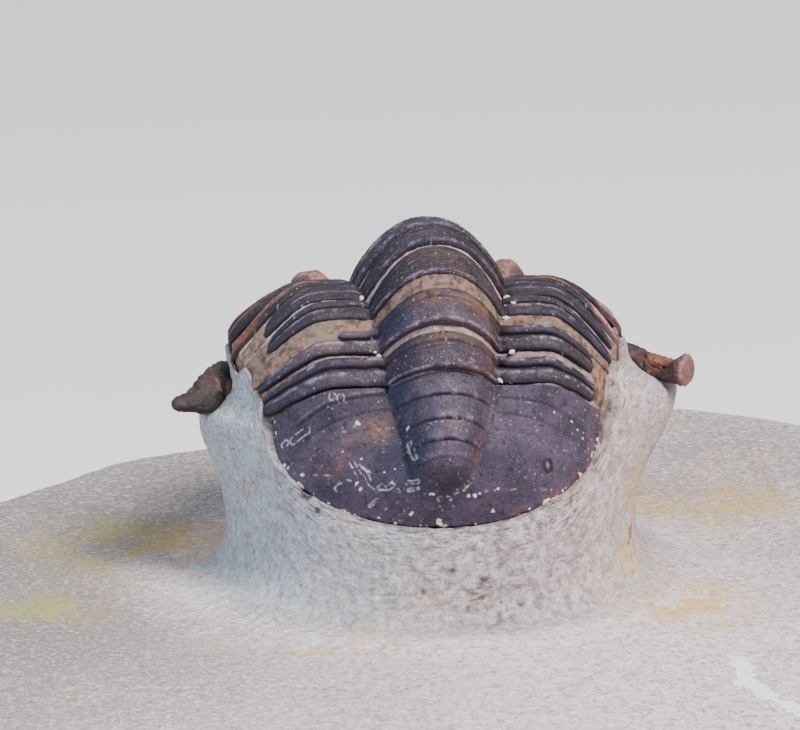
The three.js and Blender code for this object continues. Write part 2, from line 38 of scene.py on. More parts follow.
# Sizes of the stone
SLAB_THICKNESS, SLAB_TOP, PEDESTAL_Y, FOOT_FLARE = 13, -9.8, 6.6, 1.8
SLAB_RADII = [
    27.5, 28.5, 29.5, 29, 28, 25, 22.6, 21.6, 22.2, 22, 22.5, 23.5, 25.5, 27.5, 28.5, 27.5,
    26, 24.5, 24, 24.5, 26, 28, 28.5, 27.5,
]


def mix(a, b, share):
    return a + (b - a) * share


def smooth(low, high, value):
    share = np.clip((value - low) / (high - low), 0, 1)
    return share * share * (3 - 2 * share)


def bell(value, width):
    return np.exp(-((value / width) ** 2))


def curve(knots):
    """A smooth line through knots (place, value), flat beyond both ends."""
    places, values = np.array(knots, float).T
    slopes = np.zeros(len(places))
    slopes[1:-1] = (values[2:] - values[:-2]) / (places[2:] - places[:-2])

    def at(place):
        place = np.clip(place, places[0], places[-1])
        i = np.clip(np.searchsorted(places, place, "right") - 1, 0, len(places) - 2)
        span = places[i + 1] - places[i]
        t = (place - places[i]) / span
        rise = values[i] * (2 * t**3 - 3 * t**2 + 1) + values[i + 1] * (3 * t**2 - 2 * t**3)
        return rise + span * (slopes[i] * (t**3 - 2 * t**2 + t) + slopes[i + 1] * (t**3 - t**2))

    return at


def scatter(i, j, k, seed):
    """A number from 0 to 1 for each whole cell."""
    mask = np.uint64(0xFFFFFFFF)
    h = (
        i.astype(np.int64).astype(np.uint64) * np.uint64(73856093)
        ^ j.astype(np.int64).astype(np.uint64) * np.uint64(19349663)
        ^ k.astype(np.int64).astype(np.uint64) * np.uint64(83492791)
        ^ np.uint64(seed * 2654435761 % 2**32)
    ) & mask
    for shift, factor in ((16, 2246822519), (13, 3266489917)):
        h = ((h ^ (h >> np.uint64(shift))) * np.uint64(factor)) & mask
    h = h ^ (h >> np.uint64(16))
    return h.astype(float) / 2**32


def noise(points, size, seed=0):
    """Smooth noise from -1 to 1 over points in millimetres, with features of about this size."""
    p = np.asarray(points, float) / size
    cell = np.floor(p)
    f = p - cell
    f = f * f * (3 - 2 * f)
    total = 0
    for dx in (0, 1):
        for dy in (0, 1):
            for dz in (0, 1):
                weight = (
                    (f[..., 0] if dx else 1 - f[..., 0])
                    * (f[..., 1] if dy else 1 - f[..., 1])
                    * (f[..., 2] if dz else 1 - f[..., 2])
                )
                corner = scatter(cell[..., 0] + dx, cell[..., 1] + dy, cell[..., 2] + dz, seed)
                total = total + weight * corner
    return total * 2 - 1


def rough(points, size, octaves=4, seed=0):
    total = 0
    for octave in range(octaves):
        total = total + noise(points, size / 2**octave, seed + octave) / 2**octave
    return total / 1.6


def grains(x, y, size, seed=0, fill=1.0):
    """Rounded bumps from 0 to 1 at scattered places of a plane, about one in each cell."""
    u, v = x / size, y / size
    iu, iv = np.floor(u), np.floor(v)
    best = np.zeros(np.shape(u))
    for du in (-1, 0, 1):
        for dv in (-1, 0, 1):
            ci, cj = iu + du, iv + dv
            zero = np.zeros_like(ci)
            here_u = ci + 0.2 + 0.6 * scatter(ci, cj, zero, seed)
            here_v = cj + 0.2 + 0.6 * scatter(ci, cj, zero + 1, seed)
            radius = 0.28 + 0.24 * scatter(ci, cj, zero + 2, seed)
            kept = scatter(ci, cj, zero + 3, seed) < fill
            bump = np.clip(1 - ((u - here_u) ** 2 + (v - here_v) ** 2) / radius**2, 0, 1)
            best = np.maximum(best, bump * kept)
    return best


# The line of the back
BACK_STEP, BACK_START, BACK_STEPS, SMOOTHING = 0.05, -8, 620, 10
raw_places = BACK_START + np.arange(-SMOOTHING, BACK_STEPS + SMOOTHING + 1) * BACK_STEP
raw_slopes = np.interp(
    raw_places, [-0.6, *JOINTS, THORAX + 2], [TAIL_SLOPE, *JOINT_SLOPES, HEAD_SLOPE]
)
back_slopes = np.radians(np.convolve(raw_slopes, np.ones(2 * SMOOTHING + 1) / (2 * SMOOTHING + 1), "valid"))
back_places = BACK_START + np.arange(BACK_STEPS + 1) * BACK_STEP
back_y = np.concatenate([[0], np.cumsum(np.cos(back_slopes) * BACK_STEP)[:-1]])
back_z = np.concatenate([[0], np.cumsum(np.sin(back_slopes) * BACK_STEP)[:-1]])
back_y -= np.interp(0, back_places, back_y)
back_z -= np.interp(0, back_places, back_z)


def body_point(x, s, q):
    """x across, s along the back and q up from it, as millimetres from the last ring joint."""
    slope = np.interp(s, back_places, back_slopes)
    y = np.interp(s, back_places, back_y) - q * np.sin(slope)
    z = np.interp(s, back_places, back_z) + q * np.cos(slope)
    return np.stack(np.broadcast_arrays(x, y, z), -1)


axis_half_width = curve(
    [[-5.3, 0.7], [-4, 1.1], [-2.6, 1.5], [0, 2.15], [2.8, 2.5], [5.6, 2.95], [8, 3.15], [12.4, 3.1]]
)
axis_height = curve([[-4.2, 1.1], [-3, 1.6], [0, 2.1], [3, 2.5], [7, 2.47], [12.4, 2.45]])
left_half_width = curve([[-0.9, 6.64], [0, 6.95], [2, 7.35], [5, 8], [7.4, 8.2], [9, 8.2], [12.4, 7.85]])
right_half_width = curve([[-0.9, 6.64], [0, 6.8], [2, 7.1], [5, 7.65], [7.4, 7.9], [9, 7.95], [12.4, 7.85]])
side_drop = curve([[0, 2.7], [4, 2.7], [5.5, 2.5], [7.4, 1.95], [9, 1.8], [12.4, 2.7]])
sweep_length = curve([[0, 0.42], [3, 0.6], [6, 1], [7.4, 1], [12.4, 0]])


def body_half_width(x, s):
    return np.where(x < 0, left_half_width(s), right_half_width(s))


def sweep(x, s):
    """How far the side lobes' ends are swept back towards the tail."""
    return sweep_length(s) * smooth(4, 7.6, np.abs(x))


def lobe(x, s):
    share = np.minimum(np.abs(x) / axis_half_width(s), 1)
    return axis_height(s) * (1 - share**2.2)


def side_field(x, s):
    width = body_half_width(x, s)
    knee = 0.62 * width
    share = np.maximum((np.abs(x) - knee) / (width - knee), 0)
    return -side_drop(s) * np.minimum(share, 1.15) ** 1.6


def thorax_height(x, s):
    return lobe(x, s) + side_field(x, s)


def tail_reach(x, p):
    return np.hypot(x / TAIL_HALF_WIDTH, np.maximum(p - TAIL_CORNER, 0) / (TAIL_LENGTH - TAIL_CORNER))


def tail_field(x, p):
    across = np.abs(x) / TAIL_HALF_WIDTH
    along = np.maximum(p - TAIL_CORNER, 1e-6) / (TAIL_LENGTH - TAIL_CORNER)
    drop = mix(2.3, 3.5, (np.arctan2(across, along) / (np.pi / 2)) ** 1.4)
    return mix(side_field(x, 0), -drop * np.minimum(tail_reach(x, p), 1.1) ** 2.6, smooth(-0.2, 1.9, p))


def head_half_width(p):
    return HEAD_HALF_WIDTH * np.sqrt(np.maximum(1 - (p / HEAD_LENGTH) ** 2.2, 0))


glabella_half_width = curve([[0, 2.95], [0.9, 2.7], [2.4, 3.05], [4.2, 2.75], [5.4, 1.7], [5.9, 0.2]])
suture_at = curve([[0, 5.4], [1, 4.2], [1.8, 3.4], [3, 3.25], [4.4, 3.6], [5.6, 2.9], [6.3, 2.1]])
GLABELLA_LENGTH = 5.9
HEAD_START = THORAX + 0.12
EYE = dict(x=4.28, p=1.95, length=1.25, width=0.8)
EYES = dict(
    left=dict(x=4.3, width=1.0, height=2.16, flatness=4.5),
    right=dict(x=4.0, width=0.98, height=2.42, flatness=3),
)


def head_field(x, p):
    reach = np.hypot(x / HEAD_HALF_WIDTH, np.maximum(p, 0) / HEAD_LENGTH)
    return -3.0 * np.minimum(reach, 1.05) ** 2.8


def head_height(x, p):
    share = np.minimum(np.abs(x) / glabella_half_width(p), 1)
    cap = np.sqrt(np.maximum(1 - (np.clip(p, 0, GLABELLA_LENGTH) / GLABELLA_LENGTH) ** 4, 0))
    dome = 3.0 * (1 - share**2.4) * cap
    inside = share < 1
    neck = np.where(inside, 0.45 * bell(p - 0.95, 0.16), 0.25 * bell(p - 0.9, 0.22))
    border = 0.35 * bell(np.hypot(x / HEAD_HALF_WIDTH, p / HEAD_LENGTH) - 0.86, 0.05)
    under_eye = 0.7 * bell(np.hypot((np.abs(x) - 4.3) / 1.5, (p - EYE["p"]) / 1.7), 1)
    return head_field(x, p) + dome + under_eye - neck - border


# Meshes
def closed_mesh(loops, marks):
    """Closed loops of points in millimetres, loops by points by 3, skinned and capped at both ends."""
    count, size = loops.shape[:2]
    points = np.concatenate([loops.reshape(-1, 3), [loops[0].mean(0)], [loops[-1].mean(0)]])
    i = np.arange(count - 1)[:, None] * size
    j = np.arange(size)[None, :]
    k = (j + 1) % size
    quads = np.stack([i + j, i + k, i + size + k, i + size + j], -1).reshape(-1, 4)
    first, last, end = count * size, count * size + 1, (count - 1) * size
    j, k = j[0], k[0]
    fans = np.concatenate(
        [np.stack([k, j, np.full(size, first)], -1), np.stack([end + j, end + k, np.full(size, last)], -1)]
    )
    a, b, c, d = (points[quads[:, n]] for n in range(4))
    volume = np.einsum("ij,ij->i", a, np.cross(b, c)).sum() + np.einsum("ij,ij->i", a, np.cross(c, d)).sum()
    a, b, c = (points[fans[:, n]] for n in range(3))
    volume += np.einsum("ij,ij->i", a, np.cross(b, c)).sum()
    if volume < 0:
        quads, fans = quads[:, ::-1], fans[:, ::-1]
    fields = {}
    for key, values in marks.items():
        values = np.broadcast_to(values, (count, size))
        fields[key] = np.concatenate([values.ravel(), [values[0].mean()], [values[-1].mean()]])
    return points, quads, fans, fields


def make_piece(name, shells, material, slot, *nodes):
    """One object from one or more closed shells, standing for the solids of these nodes."""
    points, faces, fields, start = [], [], {}, 0
    keys = {key for shell in shells for key in shell[3]}
    for shell_points, quads, fans, shell_fields in shells:
        points.append(shell_points)
        faces += (quads + start).tolist() + (fans + start).tolist()
        for key in keys:
            fields.setdefault(key, []).append(shell_fields.get(key, np.zeros(len(shell_points))))
        start += len(shell_points)
    mesh = bpy.data.meshes.new(name)
    mesh.from_pydata(((np.concatenate(points) + ZERO) * MM).tolist(), [], faces)
    mesh.polygons.foreach_set("use_smooth", np.ones(len(faces), bool))
    for key in sorted(keys):
        layer = mesh.attributes.new(key, "FLOAT", "POINT")
        layer.data.foreach_set("value", np.concatenate(fields[key]).astype(np.float32))
    mesh.materials.append(material)
    mesh.update()
    piece = bpy.data.objects.new(name, mesh)
    bpy.context.collection.objects.link(piece)
    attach(piece, "root")
    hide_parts(*nodes)
    return piece


def wrap_under(x, s, top, depth, rows=3):
    """Loops over a plate: for each column the top from rear to front, then down, back under and up."""
    columns = x.shape[1]
    upper = body_point(x, s, top)
    front = [body_point(x[-1], s[-1], top[-1] - depth * share) for share in (0.35, 0.75, 1)]
    rear = [body_point(x[0], s[0], top[0] - depth * share) for share in (1, 0.75, 0.35)]
    below = [front[-1] + (rear[0] - front[-1]) * share for share in np.linspace(0, 1, rows + 2)[1:-1]]
    lines = [*upper, *front, *below, *rear]
    return np.stack(lines, 1).reshape(columns, -1, 3)


def around(values, extra):
    """Carries a mark on the top of a plate over its edges and underside."""
    front = np.repeat(values[-1:], extra // 2, 0)
    rear = np.repeat(values[:1], extra - extra // 2, 0)
    return np.concatenate([values, front, rear], 0).T


def plate(x, s, top, marks, rows=3):
    """A closed plate of shell thickness under this top surface, with the marks that its material reads."""
    loops = wrap_under(x, s, top, SHELL, rows)
    extra = loops.shape[1] - x.shape[0]
    return closed_mesh(loops, {key: around(value, extra) for key, value in marks.items()})


# Rings of the thorax, from the tail forwards: how far each side lobe reaches before stone covers
# it, how much wider the gap before it is (left, axis, right), and how high stone fills that gap
RINGS = [
    dict(left=1, right=0.89, gaps=(0.06, 0.05, 0.24), fill=0.5),
    dict(left=0.96, right=0.83, gaps=(0.58, 0.3, 0.44), fill=1.0),
    dict(left=0.81, right=0.97, gaps=(0.07, 0.04, 0.04), fill=0.6),
    dict(left=0.78, right=0.93, gaps=(0.06, 0.02, 0.03), fill=0.5),
    dict(left=1, right=0.95, gaps=(0.03, 0, 0.03), fill=0.3),
    dict(left=1, right=1, gaps=(0, 0, 0), fill=0.3),
    dict(left=1, right=1, gaps=(0, 0, 0), fill=0.3),
    dict(left=0.97, right=0.97, gaps=(0, 0, 0), fill=0.3),
    dict(left=0.95, right=0.95, gaps=(0, 0, 0), fill=0.3),
]
BROKEN_RING = 1  # its front band is missing on the left
SEEN_RINGS = 5  # the rings that the photograph shows closely have finer meshes
RING_ROWS = 46


def gap_at(index, x):
    left, middle, right = RINGS[index]["gaps"]
    beside = smooth(0.95, 1.15, np.abs(x) / axis_half_width(JOINTS[index + 1]))
    gap = mix(middle, np.where(x < 0, left, right), beside)
    return gap + 0.4 * smooth(-3.8, -4.15, x) * (index == BROKEN_RING)


# A ring's height over the back, from its front edge (0) to its rear edge (1)
axis_relief = curve([
    [0, -0.27], [0.05, -0.2], [0.1, -0.06], [0.16, 0.0], [0.25, 0.01], [0.31, -0.02], [0.335, -0.12],
    [0.36, -0.03], [0.4, 0.02], [0.43, 0.0], [0.47, 0.05], [0.65, 0.1], [0.85, 0.12], [0.94, 0.12],
    [0.985, 0.07], [1, 0.0],
])
side_relief = curve([
    [0, -0.2], [0.04, -0.06], [0.1, 0.05], [0.18, 0.09], [0.3, 0.05], [0.37, -0.03], [0.405, -0.14],
    [0.44, -0.1], [0.49, 0.02], [0.57, 0.08], [0.7, 0.1], [0.84, 0.08], [0.93, 0.03], [0.985, -0.02],
    [1, -0.06],
])


def ring_edges(index, x):
    """The rear and the front edge of a ring along the back, at x."""
    wander = 0.025 * noise(np.stack([x, np.full_like(x, index * 7.3), np.zeros_like(x)], -1), 0.5, 3)
    rear = JOINTS[index] - 0.02 - sweep(x, JOINTS[index]) + wander
    front = JOINTS[index + 1] - 0.07 - sweep(x, JOINTS[index + 1]) - gap_at(index, x) + wander
    return rear, front


def ring_grid(index, middle, a):
    """Places over a ring: share and x across, f from its front (0) to its rear (1), s and how much is tip."""
    facts = RINGS[index]
    share = np.linspace(-1, 1, 420 if index < SEEN_RINGS else 260)
    width = body_half_width(share, middle)
    reach = np.where(share < 0, facts["left"], facts["right"])
    x = share * (a + (width - a) * reach)
    f = 1 - np.linspace(0, 1, RING_ROWS) ** 0.92
    f, x = np.meshgrid(f, x, indexing="ij")
    rear, front = ring_edges(index, x)
    tip = np.clip((np.abs(share) - 0.94) / 0.06, 0, 1)[None, :]
    narrow = np.sqrt(np.clip(1 - tip**2, 0.02, 1))
    return share, x, f, mix(front, rear, mix(0.52, f, narrow)), tip, narrow


def outer_skin(index, x, share, band):
    """Where the outer ends of the front rings are rusty, and where they are mauve."""
    out = np.abs(share)[None, :]
    rusty = smooth(0.5, 0.66, out) * smooth(0.56, 0.42, band) * (index in (4, 5))
    rusty = rusty + 0.5 * smooth(0.78, 0.96, out) * (index > 5)
    rusty = np.maximum(rusty, smooth(0.84, 0.93, out) * (x < 0) * (index == 4))
    mauve = smooth(0.84, 0.89, share)[None, :] * np.ones_like(x) * (index in (4, 5))
    return np.maximum(rusty, mauve), mauve


def brown_patches(index, x, f, a, on_axis, flat):
    brown = (0.9 * bell(f - 0.22, 0.25) + 0.3) * on_axis * smooth(-0.75, -0.1, x / a) * (1 if index else 0.55)
    brown += 0.7 * bell(np.hypot((x + 4.6) / 0.9, (f - 0.3) / 0.5), 1) * (index == BROKEN_RING)
    brown += 0.5 * smooth(0.1, 0.7, rough(flat, 0.8, 3, 73))
    return np.clip(brown, 0, 1) * (index < 3)


def ring_piece(index, material, number):
    middle = (JOINTS[index] + JOINTS[index + 1]) / 2
    a = axis_half_width(middle)
    share, x, f, s, tip, narrow = ring_grid(index, middle, a)
    flat = np.stack([x, s, np.full_like(x, index * 3.7)], -1)
    on_axis = smooth(1.06, 0.9, np.abs(x) / a)
    broken = smooth(-3.8, -4.15, x) * (index == BROKEN_RING)
    band = mix(f, 0.45 + 0.55 * f, broken) + 0.02 * noise(flat * [1, 0, 1], 0.8, 61)
    relief = mix(side_relief(band), axis_relief(f), on_axis)
    q = thorax_height(x, middle - sweep(x, middle)) + relief * mix(0.35, 1, narrow) - 0.16 * tip**2
    q = q - 0.12 * bell((np.abs(x) - a) / 0.22, 1)
    granular = smooth(0.42, 0.52, f) * on_axis + 0.45 * (1 - on_axis) * smooth(0.5, 0.6, band)
    bumps = grains(x, s, 0.09, 11 + index, 0.8)
    row = bell(f - 0.93, 0.04) * grains(x, np.full_like(x, 0.07), 0.13, 5 + index)
    q = q + 0.022 * bumps * granular + 0.025 * row * on_axis + 0.035 * rough(flat, 0.9, 3, index)
    q = q + 0.014 * rough(flat, 0.14, 2, 40 + index)
    worn = np.clip(relief / 0.13, 0, 1) * smooth(0.1, 0.7, rough(flat, 0.4, 2, 9))
    beside = 1 - on_axis
    # Painted highlight: thin light lines along the axis's rear edge and along the tops of the side bands
    crest_highlight = bell(f - 0.95, 0.025) * on_axis + (bell(band - 0.15, 0.05) + bell(band - 0.62, 0.06)) * beside
    outer, mauve = outer_skin(index, x, share, band)
    # Painted shade: darker in the furrows and under the edges of the side bands
    under_edge = (smooth(0.24, 0.36, band) * (band < 0.42) + smooth(0.8, 0.98, band)) * beside
    # Painted cool shade down the left flank of the axis, plus random bluish tint on the side lobes
    blue = bell((x + a * 0.8) / 0.55, 1) * (index < 3) + 0.35 * beside * smooth(0, 0.5, noise(flat, 1.4, 74))
    # Painted shade: how much the ring's colour is darkened, most on the rings from the third on and on the
    # right side of the first two
    deep = np.where((index < 2) & (x > 2), 1.0, (0.65, 0.3, 1.0)[min(index, 2)])
    # lift: lighter where the raised parts are worn, plus the painted crest highlight
    lift = (0.35 if index < 2 else 0.15) * worn + 1.1 * crest_highlight * smooth(-0.3, 0.4, noise(flat, 0.4, 14))
    marks = {
        "rust": smooth(0.2, 0.8, rough(flat, 1.3, 3, 70)) + 0.6 * bell((x - a * 0.92) / 0.25, 1),
        "brown": brown_patches(index, x, f, a, on_axis, flat),
        "blue": blue,
        "outer": outer,
        "mauve": mauve,
        "deep": deep,
        "granular": granular,
        "groove": np.clip(-relief / 0.16 + 0.7 * under_edge, 0, 1),
        "lift": np.clip(lift, 0, 1),
        "mark": 0.6 * grains(x, s, 0.12, 58 + index, 0.05) ** 3,
    }
    shell, node = plate(x, s, q, marks), f"thoracic_segment_{number:02d}"
    return make_piece(f"ring_{number:02d}", [shell], material, "dark_shell", node)


# Tail shield: its places are x and the distance p behind its front edge
TAIL_FURROWS = (0.98, 1.92, 2.7, 3.3)
FURROW_DEPTHS = (1, 1, 1, 0.35)
# Each rib's furrow: how far behind the front edge it starts, and how deep it is
RIBS = dict(
    left=((0.36, 1.0), (0.98, 0.6), (1.6, 0.25), (2.2, 0.15)),
    right=((0.6, 0.6), (1.22, 0.45), (1.85, 0.2)),
)
# Tool marks: outlines round short bars (ends, half width), thin scratches and chipped spots (place, radius)
LOOPS = [
    ((-4.4, 0.35), (-4.38, 0.36), 0.13), ((-4.07, 0.42), (-4.05, 0.43), 0.13),
    ((-6.2, 1.54), (-6.17, 1.52), 0.13), ((-5.87, 1.5), (-5.38, 1.3), 0.14),
    ((-3.9, 1.54), (-3.6, 1.41), 0.1), ((-1.42, 2.46), (-1.22, 3.05), 0.06),
    ((-1.5, 3.8), (-1.08, 3.79), 0.05), ((-1.45, 4.04), (-1.05, 4.02), 0.05),
    ((-0.2, 4.42), (0.3, 4.4), 0.06), ((-2.95, 4.42), (-2.68, 4.28), 0.05),
]
SCRATCHES = [
    [(-3.75, 2.83), (-3.54, 3.25), (-3.38, 3.56)], [(-3.38, 2.98), (-3.15, 3.15), (-2.9, 3.62)],
    [(-3.6, 2.8), (-3.3, 3.3)], [(-3.2, 3.35), (-3.0, 3.75)], [(-5.12, 2.99), (-4.4, 3.2), (-3.69, 3.49)],
    [(-4.05, 3.5), (-4.25, 3.52), (-4.33, 3.64), (-4.25, 3.76), (-4.08, 3.78)],
    [(-3.15, 3.61), (-2.76, 3.93), (-2.5, 3.72), (-2.33, 3.87), (-2.1, 3.71), (-1.82, 4.02)],
    [(-2.6, 3.95), (-2.2, 3.98), (-2.0, 3.9)], [(-1.05, 4.67), (-0.85, 4.72), (-0.7, 4.6)],
    [(-2.32, 4.6), (-2.2, 4.52)], [(0.38, 4.26), (0.75, 4.15), (1.06, 3.88)], [(-3.3, 3.1), (-2.95, 3.3)],
]
SPOTS = [
    ((-3.43, 1.39), 0.13), ((-1.48, 1.9), 0.09), ((-3.48, 3.61), 0.09), ((-3.32, 3.82), 0.1),
    ((-1.66, 3.17), 0.07), ((-5.53, 2.89), 0.12), ((-1.31, 4.81), 0.1), ((-0.2, 5.12), 0.12),
    ((1.99, 4.77), 0.09), ((0.95, 4.32), 0.07), ((1.23, 4.31), 0.08), ((1.43, 4.23), 0.06),
    ((2.17, 4.03), 0.08), ((4.54, 1.03), 0.05), ((5.33, 1.22), 0.07), ((5.6, 1.45), 0.05),
    ((5.83, 1.68), 0.06), ((-4.0, 2.4), 0.05), ((-3.3, 2.77), 0.05), ((-0.6, 4.25), 0.08),
    ((-0.45, 4.24), 0.07), ((-2.0, 3.3), 0.05), ((-2.4, 3.37), 0.04),
]
# The pit's ring is darkened with painted shade and its centre lightened with a painted highlight
PIT = (4.26, 3.03)  # a dark ringed pit on the right


def segment_distance(x, y, a, b):
    a, b = np.array(a, float), np.array(b, float)
    along = b - a
    t = np.clip(((x - a[0]) * along[0] + (y - a[1]) * along[1]) / (along @ along), 0, 1)
    return np.hypot(x - a[0] - t * along[0], y - a[1] - t * along[1])


def tool_marks(x, p, flat):
    """How strongly each place of the tail shield is scratched."""
    marks = np.zeros(np.shape(x))
    for start, stop, half_width in LOOPS:
        away = segment_distance(x, p, start, stop) + 0.03 * noise(flat, 0.16, 37)
        marks += bell(away - half_width, 0.022)
    for line in SCRATCHES:
        for start, stop in zip(line[:-1], line[1:]):
            away = segment_distance(x, p, start, stop) + 0.02 * noise(flat, 0.14, 38)
            marks = np.maximum(marks, bell(away, 0.022))
    return np.clip(marks, 0, 1) * smooth(-0.45, 0.1, noise(flat, 0.13, 35))


def chipped_spots(x, p, flat):
    spots = np.zeros(np.shape(x))
    for (across, behind), radius in SPOTS:
        away = np.hypot(x - across, (p - behind) * 1.2) / radius
        spots = np.maximum(spots, 0.85 * smooth(1.0, 0.65, away + 0.7 * noise(flat, 0.09, 39)))
    return spots


def tail_grid():
    """Places over the tail shield, rows from its chipped rear margin to its front edge."""
    side = np.linspace(-1, 1, 441)
    side = np.sin(side * 1.35) / np.sin(1.35)
    x = TAIL_HALF_WIDTH * 0.995 * side
    across = np.abs(side)
    front = 0.1 + sweep(x, 0)
    rear = TAIL_CORNER + 0.12 + (TAIL_LENGTH - TAIL_CORNER - 0.12) * np.sqrt(np.maximum(1 - across**2, 0))
    edge = np.stack([x, rear, np.zeros_like(x)], -1)
    rear = rear - 0.09 * np.clip(rough(edge, 0.3, 3, 21), 0, 1) * smooth(1, 0.96, across)
    share = (1 - np.linspace(0, 1, 170) ** 1.15)[:, None]
    p = mix(front, rear, share)
    return np.broadcast_to(x, p.shape), p


def tail_rings(p):
    """The steps and the furrows of the rings along the tail shield's axis."""
    steps = np.zeros_like(p)
    starts = (0.1, *TAIL_FURROWS)
    for start, stop in zip(starts[:-1], starts[1:]):
        t = (p - start) / (stop - start)
        steps += np.where((t >= 0) & (t < 1), 0.13 * np.clip(t, 0, 1) ** 0.8 - 0.07, 0)
    furrows = sum(depth * bell(p - furrow, 0.04) for furrow, depth in zip(TAIL_FURROWS, FURROW_DEPTHS))
    return steps, furrows


def tail_ribs(x, p, out, bend, reach):
    """The furrows between the ribs of the tail shield."""
    ribs = np.zeros_like(p)
    for name, half in (("left", x < 0), ("right", x > 0)):
        for line, depth in RIBS[name]:
            ribs += half * depth * bell(p - bend - line, 0.065)
    return ribs * smooth(1.0, 0.72, reach) * smooth(0.05, 0.4, out)


def tail_rust(x, p, a, reach, flat):
    left_patch = bell(np.hypot((x + 4.3) / 1.6, (p - 2.4) / 0.9), 1)
    rust = 0.7 * smooth(0.15, 0.7, rough(flat, 1.5, 3, 44)) * left_patch
    beside_axis = bell((x - a * 0.92) / 0.13, 1) * smooth(0.3, 0.9, p) * smooth(4.0, 3.3, p)
    rust += 0.5 * beside_axis * smooth(-0.5, 0.2, noise(flat, 0.4, 47))
    return np.clip(rust + 0.6 * smooth(0.93, 0.98, reach) * smooth(2, 4.5, x), 0, 1)


def tail_scratches_and_highlight(x, p, flat, pit):
    """The pale marks: tools, a dotted seam, dashes along the front edge, specks and a painted highlight at
    the pit's centre.
    """
    dots = smooth(0.1, 0.5, noise(flat, 0.12, 91))
    seam = bell(segment_distance(x, p, (1.6, 4.15), (4.7, 3.8)), 0.03) * dots
    dashes = bell(p - 1.15 - 0.1 * np.abs(x - 2.1), 0.025) * smooth(2.1, 2.3, x) * smooth(4.6, 4.4, x) * dots
    specks = grains(x, p, 0.14, 55, 0.12) ** 3 * smooth(-0.3, 0.4, noise(flat, 1.1, 7))
    scratched_and_highlit = tool_marks(x, p, flat) + 0.6 * seam + 0.45 * dashes + 0.5 * specks + 0.35 * bell(pit, 0.3)
    return np.clip(scratched_and_highlit, 0, 1)


def tail_piece(material):
    x, p = tail_grid()
    s = -p
    flat = np.stack([x, p, np.full_like(x, 4.2)], -1)
    a = axis_half_width(s)
    end = 1 - smooth(3.6, 4.12, p + 0.2 * x * x)
    on_axis = smooth(1.05, 0.85, np.abs(x) / a) * end
    q = tail_field(x, p) + lobe(x, s) * end
    ring_relief, furrows = tail_rings(p)
    q = q + on_axis * (ring_relief - 0.1 * furrows * smooth(-0.95, -0.2, x / a))
    q = q - 0.12 * bell(p - 0.1, 0.12) * on_axis
    reach = tail_reach(x, p)
    out = np.maximum(np.abs(x) - a, 0)
    bend = 0.05 * out + 0.01 * np.minimum(out, 3.8) ** 3
    ribs = tail_ribs(x, p, out, bend, reach)
    q = q - 0.085 * ribs - 0.1 * bell((np.abs(x) - a) / 0.2, 1) * end
    q = q - 0.05 * smooth(0.86, 0.93, reach) * smooth(1.02, 0.95, reach)
    granular = on_axis * mix(0.55, 1, smooth(2.4, 3.3, p)) + 0.18
    q = q + 0.025 * grains(x, p, 0.09, 3, 0.85) * granular
    q = q + 0.035 * rough(flat, 1.4, 3, 5) + 0.008 * rough(flat, 0.12, 2, 6)
    pit = np.hypot((x - PIT[0]) / 0.2, (p - PIT[1]) / 0.3)
    q = q - 0.1 * bell(pit - 0.75, 0.3)
    # Painted highlight along the upper edge of the first rib on the left
    rib_highlight = bell(p - bend - 0.2, 0.05) * smooth(0, 0.5, out) * smooth(0.95, 0.8, reach) * (x < 0)
    brown = 0.8 * bell(np.hypot((x + 2.7) / 0.8, (p - 1.7) / 0.6), 1)
    brown += 0.25 * on_axis * smooth(0, 0.5, noise(flat, 0.5, 45))
    # Lighter on the raised ring steps; the painted rib highlight is added to it below
    lift = np.clip(0.6 * ring_relief / 0.06 * on_axis * smooth(0, 0.6, noise(flat, 0.3, 46)), 0, 0.6)
    # Painted cool shade down the left flank of the tail's axis, plus a bluish tint patch
    blue = bell((x + a * 0.85) / 0.55, 1) * smooth(4.5, 3.6, p)
    blue += 0.5 * bell(np.hypot((x + 2.2) / 0.8, (p - 3) / 0.7), 1)
    chips = smooth(0.978, 0.995, reach + 0.02 * noise(flat, 0.2, 12))
    chips = chips * smooth(0.1, 0.4, noise(flat, 0.13, 13))
    values = {
        "rust": tail_rust(x, p, a, reach, flat),
        "brown": brown,
        "granular": granular,
        # Painted shade in the axis furrows, the rib furrows and round the pit
        "groove": np.clip(furrows * on_axis + 0.7 * ribs + 0.9 * bell(pit - 0.75, 0.3), 0, 1),
        "lift": lift + 0.5 * rib_highlight,
        "mark": tail_scratches_and_highlight(x, p, flat, pit),
        "blue": np.clip(blue, 0, 1),
        "chip": np.clip(chipped_spots(x, p, flat) + chips, 0, 1),
        # Painted shadow behind the rounded end of the tail's axis
        "dusk": bell(np.hypot(x / 1.1, (p - 4.3) / 0.35), 1),
    }
    return make_piece("tail_shield", [plate(x, s, q, values)], material, "dark_shell", "pygidium")


